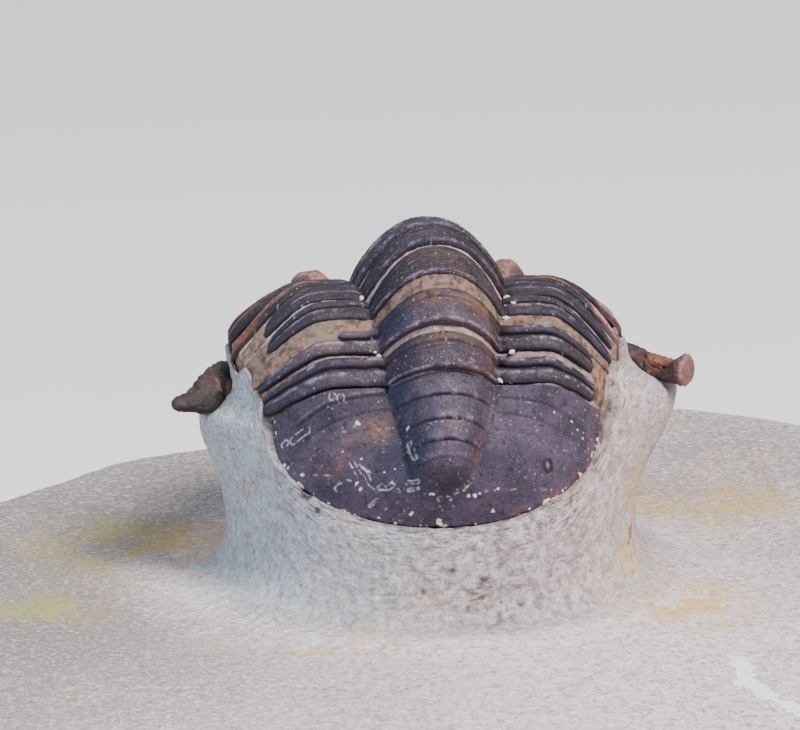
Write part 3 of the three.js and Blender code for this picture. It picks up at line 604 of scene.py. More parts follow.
# Head shield
def head_middle_piece(material):
    across = np.linspace(-1, 1, 221)[None, :]
    rows = np.linspace(0, 1, 150)[:, None]
    corner = np.abs(across * suture_at(6.3)) / HEAD_HALF_WIDTH
    front = HEAD_LENGTH * np.maximum(1 - corner**2.2, 0) ** (1 / 2.2)
    p = rows * front
    x = across * (suture_at(p) - 0.03)
    q = head_height(x, p)
    share = np.abs(x) / glabella_half_width(p)
    inside = smooth(1.05, 0.9, share)
    for place, slant in ((2.1, 0.75), (3.3, 0.55), (4.3, 0.35)):
        line = p - place + slant * (1 - share)
        q = q - 0.13 * bell(line, 0.13) * smooth(0.35, 0.8, share) * inside
    q = q + 0.5 * bell(np.hypot((np.abs(x) - 3.3) / 0.75, (p - 2.3) / 1.1), 1) * smooth(0.95, 1.15, share)
    flat = np.stack([x, p, np.full_like(x, 9.1)], -1)
    granular = inside * smooth(0.2, 0.6, p) + 0.2
    q = q + 0.04 * grains(x, p, 0.17, 61, 0.85) * granular + 0.02 * rough(flat, 1.2, 3, 12)
    q = q - 0.15 * bell(np.abs(x) - glabella_half_width(p), 0.16) * smooth(5.9, 5.3, p)
    values = {
        "rust": smooth(0.1, 0.7, rough(flat, 1.6, 3, 71)) * 0.8,
        "brown": 0.5 * smooth(0, 0.6, rough(flat, 1.1, 3, 72)),
        "granular": granular,
        # Painted shade in the neck furrow and along the glabella's sides
        "groove": bell(p - 0.95, 0.14) * 0.6 + 0.4 * bell(np.abs(x) - glabella_half_width(p), 0.2),
        "mark": 0.5 * grains(x, p, 0.6, 57, 0.1) ** 3,
    }
    shell = plate(x, HEAD_START + p, q, values, 6)
    return make_piece("head_middle", [shell], material, "dark_shell", "cranidium")


# Each cheek spine: points on its middle line from the head backwards, and its radius at each
SPINES = {
    "left": dict(
        sign=-1,
        line=[
            [-7.1, 10.6, -2.2], [-7.95, 8.7, -2.05], [-8.4, 6.3, -1.55], [-9.0, 5.5, -1.7],
            [-9.75, 4.8, -1.82], [-10.55, 4.2, -1.77],
        ],
        radii=[0.5, 0.75, 0.88, 0.76, 0.46, 0.24],
    ),
    "right": dict(
        sign=1,
        line=[
            [7.1, 10.6, -2.2], [7.9, 8.7, -1.8], [8.25, 6.5, -0.95], [9.1, 5.3, -0.9],
            [9.9, 4.5, -0.8], [10.5, 4.0, -0.76],
        ],
        radii=[0.5, 0.65, 0.68, 0.5, 0.54, 0.58],
    ),
}


def head_point(x, p, depth):
    x, p = np.array(x), np.array(p)
    return body_point(x, HEAD_START + p, head_height(x, p) - depth)


def cheek_field(sign):
    rows = np.linspace(0, 1, 150)[:, None]
    across = np.linspace(0, 1, 90)[None, :]
    p = rows * 6.34
    inner = suture_at(p) + 0.03
    rim = np.maximum(head_half_width(p), inner + 0.08)
    x = sign * mix(inner, rim, across)
    p = np.broadcast_to(p, x.shape)
    q = head_height(x, p)
    flat = np.stack([x, p, np.full_like(x, 5.5)], -1)
    ring = np.hypot((np.abs(x) - EYE["x"]) / (EYE["width"] * 1.35), (p - EYE["p"]) / (EYE["length"] * 1.22))
    q = q - 0.1 * bell(ring - 1, 0.16)
    reach = np.hypot(x / HEAD_HALF_WIDTH, p / HEAD_LENGTH)
    terraces = np.sin(reach * 160 + 2 * noise(flat, 1.2, 8)) * smooth(0.9, 0.94, reach)
    q = q + 0.03 * grains(x, p, 0.16, 63, 0.7) * 0.7 + 0.02 * rough(flat, 1.0, 3, 13) + 0.012 * terraces
    return plate(x, HEAD_START + p, q, {"dark": smooth(0.92, 0.8, reach)}, 4)


def eye(side, sign):
    facts = EYES[side]
    turn = np.linspace(0, 2 * np.pi, 72, endpoint=False)[None, :]
    lift = np.linspace(-0.12, 1, 40)[:-1, None]
    radius = np.sqrt(np.clip(1 - np.clip(lift, 0, 1) ** facts["flatness"], 0, 1))
    across, along = radius * np.cos(turn) * facts["width"], radius * np.sin(turn) * EYE["length"]
    local = np.stack([across, along, lift * facts["height"] + 0 * turn], -1)
    slope = np.interp(THORAX + EYE["p"], back_places, back_slopes)
    cos, sin = np.cos(slope), np.sin(slope)
    turned = local @ np.array([[1, 0, 0], [0, cos, sin], [0, -sin, cos]])
    points = turned + head_point(sign * facts["x"], EYE["p"], 0.02)
    points = points + (turned / 1.2) * 0.06 * rough(points, 0.5, 3, 15)[..., None]
    height = lift + 0 * turn
    lens = smooth(0.1, 0.25, height) * smooth(0.85, 0.7, height)
    values = {
        "pink": np.ones_like(height),
        "orange": smooth(0.2, 0.9, np.cos(turn)) * smooth(0.6, 0.9, height) * (side == "left"),
        "lens": lens * smooth(-0.1, 0.4, sign * np.cos(turn)),
    }
    return closed_mesh(points, values)


def spine(side):
    facts = SPINES[side]
    knots = np.linspace(0, 1, len(facts["line"]))
    share = np.linspace(0, 1, 120)
    line = np.array(facts["line"])
    centre = np.stack([curve(np.stack([knots, line[:, n]], -1))(share) for n in range(3)], -1)
    thick = curve(np.stack([knots, facts["radii"]], -1))(share)
    along = np.gradient(centre, axis=0)
    along /= np.linalg.norm(along, axis=1)[:, None]
    out = np.cross(along, [0, 0, 1.0])
    out /= np.linalg.norm(out, axis=1)[:, None]
    up = np.cross(out, along)
    thick = thick * np.sqrt(np.clip(1 - np.clip((share - 0.92) / 0.08, 0, 1) ** 2, 0.01, 1))
    turn = np.linspace(0, 2 * np.pi, 72, endpoint=False)
    ring = np.cos(turn)[None, :, None] * out[:, None] * 1.1 + np.sin(turn)[None, :, None] * up[:, None]
    points = centre[:, None] + ring * thick[:, None, None]
    lumps = 0.15 * rough(points, 0.7, 4, 17) + 0.06 * np.abs(noise(points, 0.17, 19))
    lumps = lumps + 0.03 * noise(points, 0.09, 20)
    # A hollow worn into the upper side before the right spine's end, rusty holes in the left one
    above = smooth(-0.3, 0.8, np.sin(turn + 0.5))[None, :]
    hollow = bell(share - 0.76, 0.085)[:, None] * above if side == "right" else np.zeros(points.shape[:2])
    hole_place = 0.44 if side == "left" else 0.6
    holes = smooth(0.1, 0.4, noise(points, 0.42, 23)) * bell(share - hole_place, 0.12)[:, None]
    wander = 0.03 * np.sin(3 * turn)[None, :]
    ridge = bell(share[:, None] - 0.58 - wander, 0.025) * smooth(-0.2, 0.3, noise(points, 0.4, 24))
    lumps = lumps - 0.36 * hollow - 0.2 * holes
    points = points + ring * lumps[..., None] * np.minimum(thick / 0.5, 1)[:, None, None]
    along = share[:, None] + 0 * hollow
    if side == "left":
        pink, orange = 0.9 * ridge, 0.3 * holes
    else:
        pink = 0.4 * smooth(0.86, 0.93, along) + 0.4 * bell(along - 0.96, 0.02)
        orange = bell(along - 0.7, 0.09) * smooth(0.1, 0.7, np.sin(turn - 0.4))[None, :] * (1 - 0.6 * hollow)
    values = {
        "pink": np.clip(pink, 0, 1),
        "orange": np.clip(orange, 0, 1),
        "dark": smooth(0.5, 0.3, along),
        # Painted shade darkens the right spine's hollow and the left one's holes
        "hollow": np.clip(0.85 * hollow + holes, 0, 1),
    }
    return closed_mesh(points, values)


def cheek_piece(side, material):
    sign = SPINES[side]["sign"]
    shells = [cheek_field(sign), eye(side, sign), spine(side)]
    return make_piece(f"cheek_{side}", shells, material, "brown_shell", f"free_cheek_{side}")


# The stone
def facing(degrees, centre, width):
    off = (degrees - centre + 180) % 360 - 180
    return bell(off, width)


slab_radius = curve([[(i - 24) * 15, radius] for i, radius in enumerate(SLAB_RADII * 3)])


def neck_radius(degrees):
    sides = 0.45 * facing(degrees, 0, 45) - 0.05 * facing(degrees, 180, 45)
    return 8.1 + sides + 0.3 * facing(degrees, 90, 50)


def bracket(degrees, z):
    """The pedestal widens under each cheek spine."""
    right = 1.85 * facing(degrees, -3, 26) * bell(z + 1.7, np.where(z > -1.7, 0.7, 3.1))
    left = 1.35 * facing(degrees, 182, 26) * bell(z + 2.6, np.where(z > -2.6, 0.8, 3.1))
    return right + left


def slab_top(degrees, share):
    behind = 0.95 * facing(degrees, 85, 75)
    return SLAB_TOP + (behind - 0.6) * share**2 + 0.25 * np.sin(np.radians(degrees) * 2 + 1) * share


def margin(turn):
    """The animal's edge in x, s and q, as turn goes once round it from the tail's rear towards +X."""
    half = np.where(turn > 0.5, 1 - turn, turn)
    sign = np.where(turn > 0.5, -1, 1)
    tail_angle = np.clip(half / 0.17, 0, 1) * np.pi / 2
    tail_x = TAIL_HALF_WIDTH * np.sin(tail_angle)
    tail_p = TAIL_CORNER + (TAIL_LENGTH - TAIL_CORNER) * np.cos(tail_angle)
    side_s = mix(-TAIL_CORNER, THORAX, np.clip((half - 0.17) / 0.15, 0, 1))
    side_x = body_half_width(sign, side_s)
    side_q = side_field(sign * side_x, side_s)
    side_q = mix(tail_field(side_x, TAIL_CORNER), side_q, smooth(-TAIL_CORNER, 0.4, side_s))
    head_angle = np.clip((half - 0.32) / 0.18, 0, 1) * np.pi / 2
    head_x = HEAD_HALF_WIDTH * np.clip(np.cos(head_angle), 0, 1) ** (2 / 2.2)
    head_p = HEAD_LENGTH * np.clip(np.sin(head_angle), 0, 1) ** (2 / 2.2)
    pick = [half < 0.17, half < 0.32]
    x = np.select(pick, [tail_x, side_x], head_x)
    s = np.select(pick, [-tail_p, side_s], THORAX + head_p)
    q = np.select(pick, [tail_field(tail_x, tail_p), side_q], head_field(head_x, head_p))
    return sign * x, s, q


def shell_height(x, s):
    tail = tail_field(x, -s) + lobe(x, s) * (1 - smooth(3.4, 4.2, -s))
    head = head_height(x, s - THORAX)
    return np.select([s < 0, s < THORAX], [tail, thorax_height(x, s)], head)


def fill_depth(x, s):
    """How far below the shell's surface the stone lies: it comes up beyond the rings' ends."""
    depth = np.full(np.shape(s), 0.34)
    filled = np.zeros(np.shape(s))
    for index, facts in enumerate(RINGS):
        rear = JOINTS[index] - sweep(x, JOINTS[index])
        front = JOINTS[index + 1] - sweep(x, JOINTS[index + 1])
        a = axis_half_width((rear + front) / 2)
        out = (np.abs(x) - a) / (body_half_width(x, (rear + front) / 2) - a)
        reach = np.where(x < 0, facts["left"], facts["right"])
        along = smooth(rear - 0.1, rear, s) * smooth(front + 0.1, front, s)
        filled = np.maximum(filled, 1.1 * smooth(reach - 0.02, reach + 0.02, out) * along)
    return depth - 0.26 * filled


def infill(index):
    """The strip of stone that fills the gap before a ring, or the one behind the last ring for index -1."""
    joint = JOINTS[index + 1]
    columns, lines = (260, 12) if index == BROKEN_RING else (140, 7)
    share = np.linspace(-1, 1, columns)
    width = body_half_width(share, joint)
    row, x = np.meshgrid(np.linspace(0, 1, lines), share * 0.97 * width, indexing="ij")
    gap = gap_at(index, x) if index >= 0 else 0.04
    middle = joint - sweep(x, joint)
    s = mix(middle - (0.22 if index >= 0 else 0.1) - gap, middle + 0.13, row)
    a = axis_half_width(joint)
    near_axis = bell((np.abs(x) - a) / 0.5, 1)
    if index < 0:
        fill = mix(0.2, 0.8, smooth(3, 4, x)) + 0.6 * near_axis * (x > 0) - 0.2 * smooth(4.5, 6, np.abs(x))
    else:
        fill = RINGS[index]["fill"] + 0.25 * smooth(1, 1.3, np.abs(x) / a) * (index in (2, 3))
    flat = np.stack([x, s, np.full_like(x, 2.3 * index)], -1)
    q = thorax_height(x, middle) - 0.34 + 0.27 * fill - 0.06 * near_axis
    q = q + 0.07 * rough(flat, 0.6, 3, 31) + 0.03 * noise(flat, 0.14, 32)
    tan = np.full_like(x, {1: 1.0, 2: 0.6, 3: 0.6}.get(index, 0.8))
    return plate(x, s, q, {"tan": tan}, 1)


# Ochre stains (place in the row's frame, radius) and the white scar on the slab, in millimetres
OCHRE = [
    ((8.3, -1.5, 17.5), 3.4), ((6.6, -3.0, 14.2), 2.4), ((-12.5, 4.5, 12.8), 7.0),
    ((-16, -4, 12.8), 4.0), ((12.5, 8.5, 12.8), 5.5), ((9.5, -6.0, 12.8), 4.6),
    ((-3.5, -10.6, 12.8), 1.6), ((-6.2, -10.9, 12.8), 1.5), ((-9, -10.2, 12.8), 1.7),
    ((3, 20, 12.8), 6.0),
]
SCAR = ((10.8, -12.9), (10.7, -15.3), (11.4, -17.0), (12.4, -18.5))
# Deep pits in the pedestal's wall: degrees round it, height from the zero and radius
PITS = [
    (-132, -4.6, 0.24), (-128, -5.2, 0.15), (-96, -8.2, 0.15), (-84, -8.9, 0.14), (-88, -7.4, 0.12),
    (-79, -7.9, 0.15),
]
CRACK = ((6.9, -3.4, 14.6), (8.8, -2.2, 16.2))


# The stone's lip round the shell: how far outside the animal's edge, how far below it and how tan
LIP = ((-0.13, 0.3, 0.95), (-0.1, 0.1, 0.85), (-0.05, 0.04, 0.7), (0.0, 0.05, 0.55), (0.06, 0.1, 0.45))
STONE_TURNS, CROWN_ROWS, WALL_ROWS, SLAB_ROWS, EDGE_ROWS = 392, 56, 78, 44, 17
CROWN, WALL, TOP, EDGE, UNDERSIDE = range(5)  # the zones of the stone's surface
edge_reach = curve([[0, 0.955], [0.15, 0.985], [0.3, 1], [0.5, 1], [0.7, 0.985], [0.88, 0.955], [1, 0.925]])
edge_drop = curve([[0, 0.0], [0.15, 0.8], [0.3, 2.9], [0.5, 5.2], [0.7, 8.2], [0.88, 11.2], [1, 12.8]])


def polar(degrees, radius, z):
    """Points round the pedestal's middle line."""
    angle = np.radians(degrees)
    return np.stack([radius * np.cos(angle), radius * np.sin(angle), z + 0 * radius], -1) + [0, PEDESTAL_Y, 0]


def stone_rows():
    """The stone's surface from its crown under the shell down to its underside, as rows of points.

    With them come each row's zone and tan, the angle of each column and the animal's edge.
    """
    turn = np.arange(STONE_TURNS) / STONE_TURNS
    edge_x, edge_s, edge_q = margin(turn)
    rim = body_point(edge_x, edge_s, edge_q) - [0, PEDESTAL_Y, 0]
    degrees = np.degrees(np.arctan2(rim[:, 1], rim[:, 0]))
    rim_radius = np.hypot(rim[:, 0], rim[:, 1])
    # The stone stands lower beside the front rings, whose ends are free
    rim_z = rim[:, 2] - 0.6 * smooth(3.0, 4.8, edge_s) * smooth(13.5, 12, edge_s)
    rows, zones, tans = [], [], []

    def add(row, zone, tan=0.0):
        rows.append(row)
        zones.append(zone)
        tans.append(tan)

    for share in 0.012 + 0.98 * np.linspace(0, 1, CROWN_ROWS) ** 0.62:
        x, s = edge_x * share, mix(5.6, edge_s, share)
        add(body_point(x, s, shell_height(x, s) - fill_depth(x, s)), CROWN, 1.0)
    ragged = rough(rim, 0.35, 3, 92)
    for out, down, tan in LIP:
        add(polar(degrees, rim_radius + out + 0.06 * ragged, rim_z - down + 0.04 * ragged), WALL, tan)
    for share in np.linspace(0.012, 0.97, WALL_ROWS):
        z = mix(rim_z, slab_top(degrees, 0.3) + 0.35, share)
        near_rim = np.exp(-(rim_z - z) / 1.1)
        foot = FOOT_FLARE * np.exp(-(z - SLAB_TOP) / 0.7)
        radius = mix(neck_radius(degrees), rim_radius + 0.13, near_rim) + foot + bracket(degrees, z)
        add(polar(degrees, radius, z), WALL, 0.35 * (share < 0.03))
    foot_radius = neck_radius(degrees) + FOOT_FLARE
    for share in np.linspace(0.04, 0.91, SLAB_ROWS):
        radius = mix(foot_radius, slab_radius(degrees), share)
        step = 0.28 * np.exp(-(radius - foot_radius) / 1.6)
        add(polar(degrees, radius, slab_top(degrees, share) + step), TOP)
    for share in np.linspace(0, 1, EDGE_ROWS):
        wave = 1 + 0.012 * np.sin(np.radians(degrees) * 5 + share * 8) * smooth(0, 0.2, share)
        rim_top = (slab_top(degrees, 0.94) - SLAB_TOP) * smooth(0.6, 0, share) - 0.04
        radius = slab_radius(degrees) * edge_reach(share) * wave
        add(polar(degrees, radius, SLAB_TOP + rim_top - edge_drop(share)), EDGE)
    for share in (0.9, 0.6, 0.2):
        bottom = np.full(STONE_TURNS, SLAB_TOP - SLAB_THICKNESS)
        add(polar(degrees, slab_radius(degrees) * share * 0.98, bottom), UNDERSIDE)
    return np.stack(rows), np.array(zones), np.array(tans), degrees, rim


def outward(points):
    normals = np.cross(np.gradient(points, axis=0), np.roll(points, -1, 1) - np.roll(points, 1, 1))
    normals /= np.linalg.norm(normals, axis=2)[..., None] + 1e-12
    on_slab = CROWN_ROWS + len(LIP) + WALL_ROWS + SLAB_ROWS // 4
    return normals if normals[on_slab, 0, 2] > 0 else -normals


def wall_pits(points, angle, on_wall, front):
    arc = np.radians(angle) * 9 + 0.5 * noise(points, 0.8, 89)
    level = points[..., 2] + 0.4 * noise(points, 0.9, 90)
    pits = grains(arc, level, 0.42, 87, 0.28) ** 2 + 0.8 * grains(arc * 1.3, level * 1.7, 0.3, 93, 0.2) ** 2
    pits = pits * on_wall * smooth(0.1, 0.6, noise(points, 1.7, 88)) * (0.35 + 0.65 * front)
    for place, z, radius in PITS:
        away = np.hypot((angle - place) * np.radians(8.3), points[..., 2] - z) / radius
        pits = np.maximum(pits, smooth(1.3, 0.6, away + 0.8 * noise(points, 0.2, 95)) * on_wall)
    return pits


def stone_relief(points, zone, crown, on_wall, near, below, front):
    """The height of the grain and of the tool strokes over the stone."""
    strata = np.stack([points[..., 0] * 0.3, points[..., 1] * 0.3, below], -1)
    height = 0.05 * rough(points, 0.55, 3, 82) * (crown < 0.5)
    height = height + 0.05 * rough(strata, 0.3, 3, 81) * on_wall * near
    height = height + 0.05 * rough(points * [1, 1, 0.16], 0.3, 3, 81) * on_wall * (1 - near)
    height = height + 0.1 * rough(points, 1.8, 2, 85) * on_wall * (1 - near)
    height = height + 0.04 * rough(points, 0.4, 3, 86) * (crown > 0.5)
    height = height + 0.12 * rough(points, 0.9, 3, 94) * on_wall * front * (1 - near)
    # The slab's own waves, which its edge takes up from the top
    first_edge = np.argmax(zone[:, 0] == EDGE)
    turned = smooth(0, 6, np.arange(len(points)) - first_edge)[:, None]
    height = height + 0.16 * rough(points, 6, 3, 83) * ((zone == TOP) | (zone == EDGE)) * (1 - turned)
    return height + 0.4 * rough(points, 5, 4, 84) * (zone == EDGE) * turned


def line_distance(place, start, stop):
    along = np.array(stop) - np.array(start)
    reach = np.clip((place - start) @ along / (along @ along), 0, 1)
    return np.linalg.norm(place - start - reach[..., None] * along, axis=2)


def stone_shell():
    points, zones, tans, degrees, rim = stone_rows()
    zone = np.broadcast_to(zones[:, None], points.shape[:2])
    crown = np.broadcast_to(tans[:, None], points.shape[:2])
    angle = np.broadcast_to(degrees, points.shape[:2])
    on_wall, on_top = 1.0 * (zone == WALL), 1.0 * (zone == TOP)
    below = np.maximum(rim[:, 2][None, :] - points[..., 2], 0)
    near = np.exp(-below / 3.0)
    front = facing(angle, -80, 55)
    pits = wall_pits(points, angle, on_wall, front)
    height = stone_relief(points, zone, crown, on_wall, near, below, front) - 0.12 * pits
    points = points + outward(points) * (height * (zone != UNDERSIDE))[..., None]
    place = points + ZERO
    out = np.hypot(points[..., 0], points[..., 1] - PEDESTAL_Y)
    ochre = np.zeros_like(height)
    for centre, radius in OCHRE:
        ochre = np.maximum(ochre, smooth(1, 0.25, np.linalg.norm(place - centre, axis=2) / radius))
    scar = np.full(height.shape, 9.0)
    for start, stop in zip(SCAR[:-1], SCAR[1:]):
        scar = np.minimum(scar, segment_distance(place[..., 0], place[..., 1], start, stop))
    shade = np.clip(1.0 * facing(angle, -172, 56) + 0.8 * facing(angle, 90, 60), 0, 1)
    return closed_mesh(points, {
        "tan": crown,
        "pit": np.clip(pits * 1.4, 0, 1),
        "wall": on_wall,
        "near": near * on_wall,
        "down": below * MM,
        # Painted cool shade: the left front of the pedestal's wall tinted blue
        "cool": on_wall * facing(angle, -148, 52),
        # Pink tint on the front, partly real and partly painted light that makes the front brighter
        "pink": facing(angle, -75, 50) * (crown < 0.5),
        "shade": on_top * shade * smooth(9.5, 15, out),
        # Painted light: the right front of the pedestal's wall made paler, where the key light falls
        "pale": on_wall * facing(angle, -38, 34),
        "ochre": ochre * (crown < 0.5),
        "scar": smooth(1.0, 0, scar) * on_top,
        "crack": smooth(0.8, 0, line_distance(place, *CRACK)),
    })


def pebble(centre, size, seed):
    """A small broken lump."""
    turn = np.linspace(0, 2 * np.pi, 20, endpoint=False)[None, :]
    lift = np.linspace(0.04, 0.96, 11)[:, None] * np.pi
    way = np.stack([np.sin(lift) * np.cos(turn), np.sin(lift) * np.sin(turn), np.cos(lift) + 0 * turn], -1)
    facets = 1 + 0.45 * noise(way + seed * 3.1, 0.6, seed) + 0.2 * noise(way + seed * 1.7, 0.3, seed)
    points = way * facets[..., None] * size + centre
    return closed_mesh(points, {"chalk": np.full(points.shape[:2], 0.6)})


# White crumbs of matrix left in the furrows beside the axis: x, place along the back and size
CRUMBS = [
    (2.95, JOINTS[3] - 0.1, 0.16), (3.2, JOINTS[3] - 0.55, 0.12), (2.85, JOINTS[3] - 0.75, 0.1),
    (2.78, JOINTS[2] - 0.15, 0.13), (2.9, JOINTS[1] - 0.1, 0.13), (2.75, JOINTS[1] - 0.5, 0.15),
    (2.35, 0.12, 0.13), (2.75, 0.06, 0.1), (2.6, 0.25, 0.09), (-2.9, JOINTS[3] + 0.1, 0.14),
    (-3.1, JOINTS[3] - 0.2, 0.09), (-2.45, JOINTS[1] - 0.15, 0.12), (-2.6, JOINTS[1] + 0.05, 0.08),
    (-2.5, 0.15, 0.08),
]


def crumb(number, x, s, size):
    x, s = np.array(x), np.array(s)
    centre = body_point(x, s, thorax_height(x, np.maximum(s, 0)) - 0.08)
    return pebble(centre, np.array([size, size * 0.9, size * 0.7]), number)


def stone_piece(material):
    strips = [infill(index) for index in range(-1, SEEN_RINGS)]
    crumbs = [crumb(number, *facts) for number, facts in enumerate(CRUMBS, 1)]
    return make_piece("stone", [stone_shell(), *strips, *crumbs], material, "limestone", "limestone_matrix")


# Materials
class Nodes:
    """A material's node tree with short ways to add and join nodes."""

    def __init__(self, name):
        self.material = bpy.data.materials.new(name)
        self.material.use_nodes = True
        self.tree = self.material.node_tree
        self.shader = self.tree.nodes["Principled BSDF"]
        self.place = self.tree.nodes.new("ShaderNodeTexCoord").outputs["Object"]
        self.colour = None

    def join(self, source, socket):
        self.tree.links.new(source, socket)

    def set(self, name, value):
        if isinstance(value, bpy.types.NodeSocket):
            self.join(value, self.shader.inputs[name])
        else:
            self.shader.inputs[name].default_value = value

    def stretched(self, scale):
        node = self.tree.nodes.new("ShaderNodeMapping")
        node.inputs["Scale"].default_value = scale
        self.join(self.place, node.inputs["Vector"])
        return node.outputs["Vector"]

    def noise(self, size, detail=4.0, roughness=0.55, vector=None):
        """Noise with features of about this many millimetres."""
        node = self.tree.nodes.new("ShaderNodeTexNoise")
        node.inputs["Scale"].default_value = 1 / (size * MM)
        node.inputs["Detail"].default_value = detail
        node.inputs["Roughness"].default_value = roughness
        self.join(vector or self.place, node.inputs["Vector"])
        return node.outputs["Fac"]

    def cells(self, size, feature="F1"):
        node = self.tree.nodes.new("ShaderNodeTexVoronoi")
        node.feature = feature
        node.inputs["Scale"].default_value = 1 / (size * MM)
        self.join(self.place, node.inputs["Vector"])
        return node.outputs["Distance"]

    def attribute(self, name):
        node = self.tree.nodes.new("ShaderNodeAttribute")
        node.attribute_name = name
        return node.outputs["Fac"]

    def span(self, value, low, high, to_low=0.0, to_high=1.0):
        node = self.tree.nodes.new("ShaderNodeMapRange")
        node.interpolation_type = "SMOOTHSTEP"
        self.join(value, node.inputs["Value"])
        for key, number in (("From Min", low), ("From Max", high), ("To Min", to_low), ("To Max", to_high)):
            node.inputs[key].default_value = number
        return node.outputs["Result"]

    def math(self, kind, a, b):
        node = self.tree.nodes.new("ShaderNodeMath")
        node.operation = kind
        for value, socket in ((a, node.inputs[0]), (b, node.inputs[1])):
            if isinstance(value, bpy.types.NodeSocket):
                self.join(value, socket)
            else:
                socket.default_value = value
        return node.outputs["Value"]

    def blend(self, below, above, share):
        """One colour over another; either may be a socket."""
        node = self.tree.nodes.new("ShaderNodeMix")
        node.data_type = "RGBA"
        for value, socket in ((below, node.inputs[6]), (above, node.inputs[7])):
            if isinstance(value, bpy.types.NodeSocket):
                self.join(value, socket)
            else:
                socket.default_value = (*value, 1)
        self.join(share, node.inputs[0])
        return node.outputs[2]

    def coat(self, colour, share):
        """Lays a colour over the material's colour so far."""
        self.colour = self.blend(self.colour, colour, share)

    def times(self, name, value):
        return self.math("MULTIPLY", self.attribute(name), value)

    def finish(self, roughness, specular, normal):
        self.set("Base Color", self.colour)
        self.set("Roughness", roughness)
        self.set("Specular IOR Level", specular)
        self.set("Normal", normal)
        return self.material

    def strata(self, across):
        """Places that run along the animal's edge: x and y drawn out, and the depth below the rim."""
        level = self.tree.nodes.new("ShaderNodeCombineXYZ")
        self.join(self.attribute("down"), level.inputs["Z"])
        place = self.tree.nodes.new("ShaderNodeVectorMath")
        self.join(self.stretched((across, across, 0)), place.inputs[0])
        self.join(level.outputs["Vector"], place.inputs[1])
        return place.outputs["Vector"]

    def bump(self, height, depth, below=None):
        node = self.tree.nodes.new("ShaderNodeBump")
        node.inputs["Distance"].default_value = depth * MM
        node.inputs["Strength"].default_value = 1.0
        self.join(height, node.inputs["Height"])
        if below is not None:
            self.join(below, node.inputs["Normal"])
        return node.outputs["Normal"]


def dark_shell_material():
    n = Nodes("dark_shell")
    grain = n.noise(0.075, 3, 0.6)
    fine = n.noise(0.22, 5, 0.6)
    n.colour = n.blend((0.036, 0.028, 0.049), (0.066, 0.048, 0.082), n.span(n.noise(1.3, 5), 0.36, 0.64))
    brown = n.times("brown", n.span(n.noise(0.6, 5), 0.34, 0.56))
    n.coat((0.15, 0.085, 0.055), brown)
    rust = n.times("rust", n.span(n.noise(0.4, 5), 0.4, 0.6, 0, 0.75))
    n.coat((0.19, 0.075, 0.036), rust)
    # Painted cool shade on the axis's left flanks, and bluish tint
    blue = n.times("blue", n.span(n.noise(0.8, 4), 0.3, 0.6, 0.45, 0.95))
    n.coat((0.017, 0.023, 0.052), blue)
    # Painted shade: the rings darkened by the deep mark
    n.coat((0.009, 0.007, 0.010), n.times("deep", 0.72))
    skin = n.blend((0.25, 0.085, 0.03), (0.12, 0.05, 0.042), n.span(n.noise(0.5, 5), 0.42, 0.58))
    skin = n.blend(skin, (0.42, 0.20, 0.225), n.attribute("mauve"))
    n.coat(skin, n.times("outer", n.span(n.noise(0.5, 4), 0.28, 0.5, 0.5, 1)))
    n.coat((0.014, 0.011, 0.018), n.span(fine, 0.52, 0.7, 0, 0.75))
    n.coat((0.012, 0.010, 0.015), n.span(grain, 0.48, 0.36, 0, 0.6))
    n.coat((0.21, 0.18, 0.20), n.span(grain, 0.6, 0.74, 0, 0.45))
    specks = n.span(n.noise(0.055, 1), 0.67, 0.73, 0, 0.9)
    n.coat((0.30, 0.26, 0.22), n.math("MULTIPLY", specks, n.span(n.attribute("granular"), 0, 1, 0.15, 1)))
    # Painted shade in the furrows, under the side bands' edges and round the tail's pit
    n.coat((0.008, 0.007, 0.012), n.times("groove", 0.85))
    # Painted shadow behind the tail axis's end
    n.coat((0.010, 0.010, 0.018), n.times("dusk", 0.7))
    # The lift mark: rubbed wear plus painted highlights along the crests of the rings and ribs
    worn = n.times("lift", n.span(fine, 0.4, 0.6, 0.1, 0.7))
    n.coat((0.27, 0.21, 0.30), worn)
    mark = n.times("mark", n.span(grain, 0.3, 0.55, 0.25, 0.9))
    n.coat((0.52, 0.48, 0.52), mark)
    ragged = n.span(fine, 0.3, 0.7, -0.3, 0.3)
    n.coat((0.58, 0.52, 0.47), n.span(n.math("ADD", n.attribute("chip"), ragged), 0.4, 0.7))
    normal = n.bump(n.noise(0.05, 3), 0.02, n.bump(n.noise(0.16, 4), 0.03))
    return n.finish(n.span(fine, 0.3, 0.7, 0.45, 0.65), 0.24, normal)


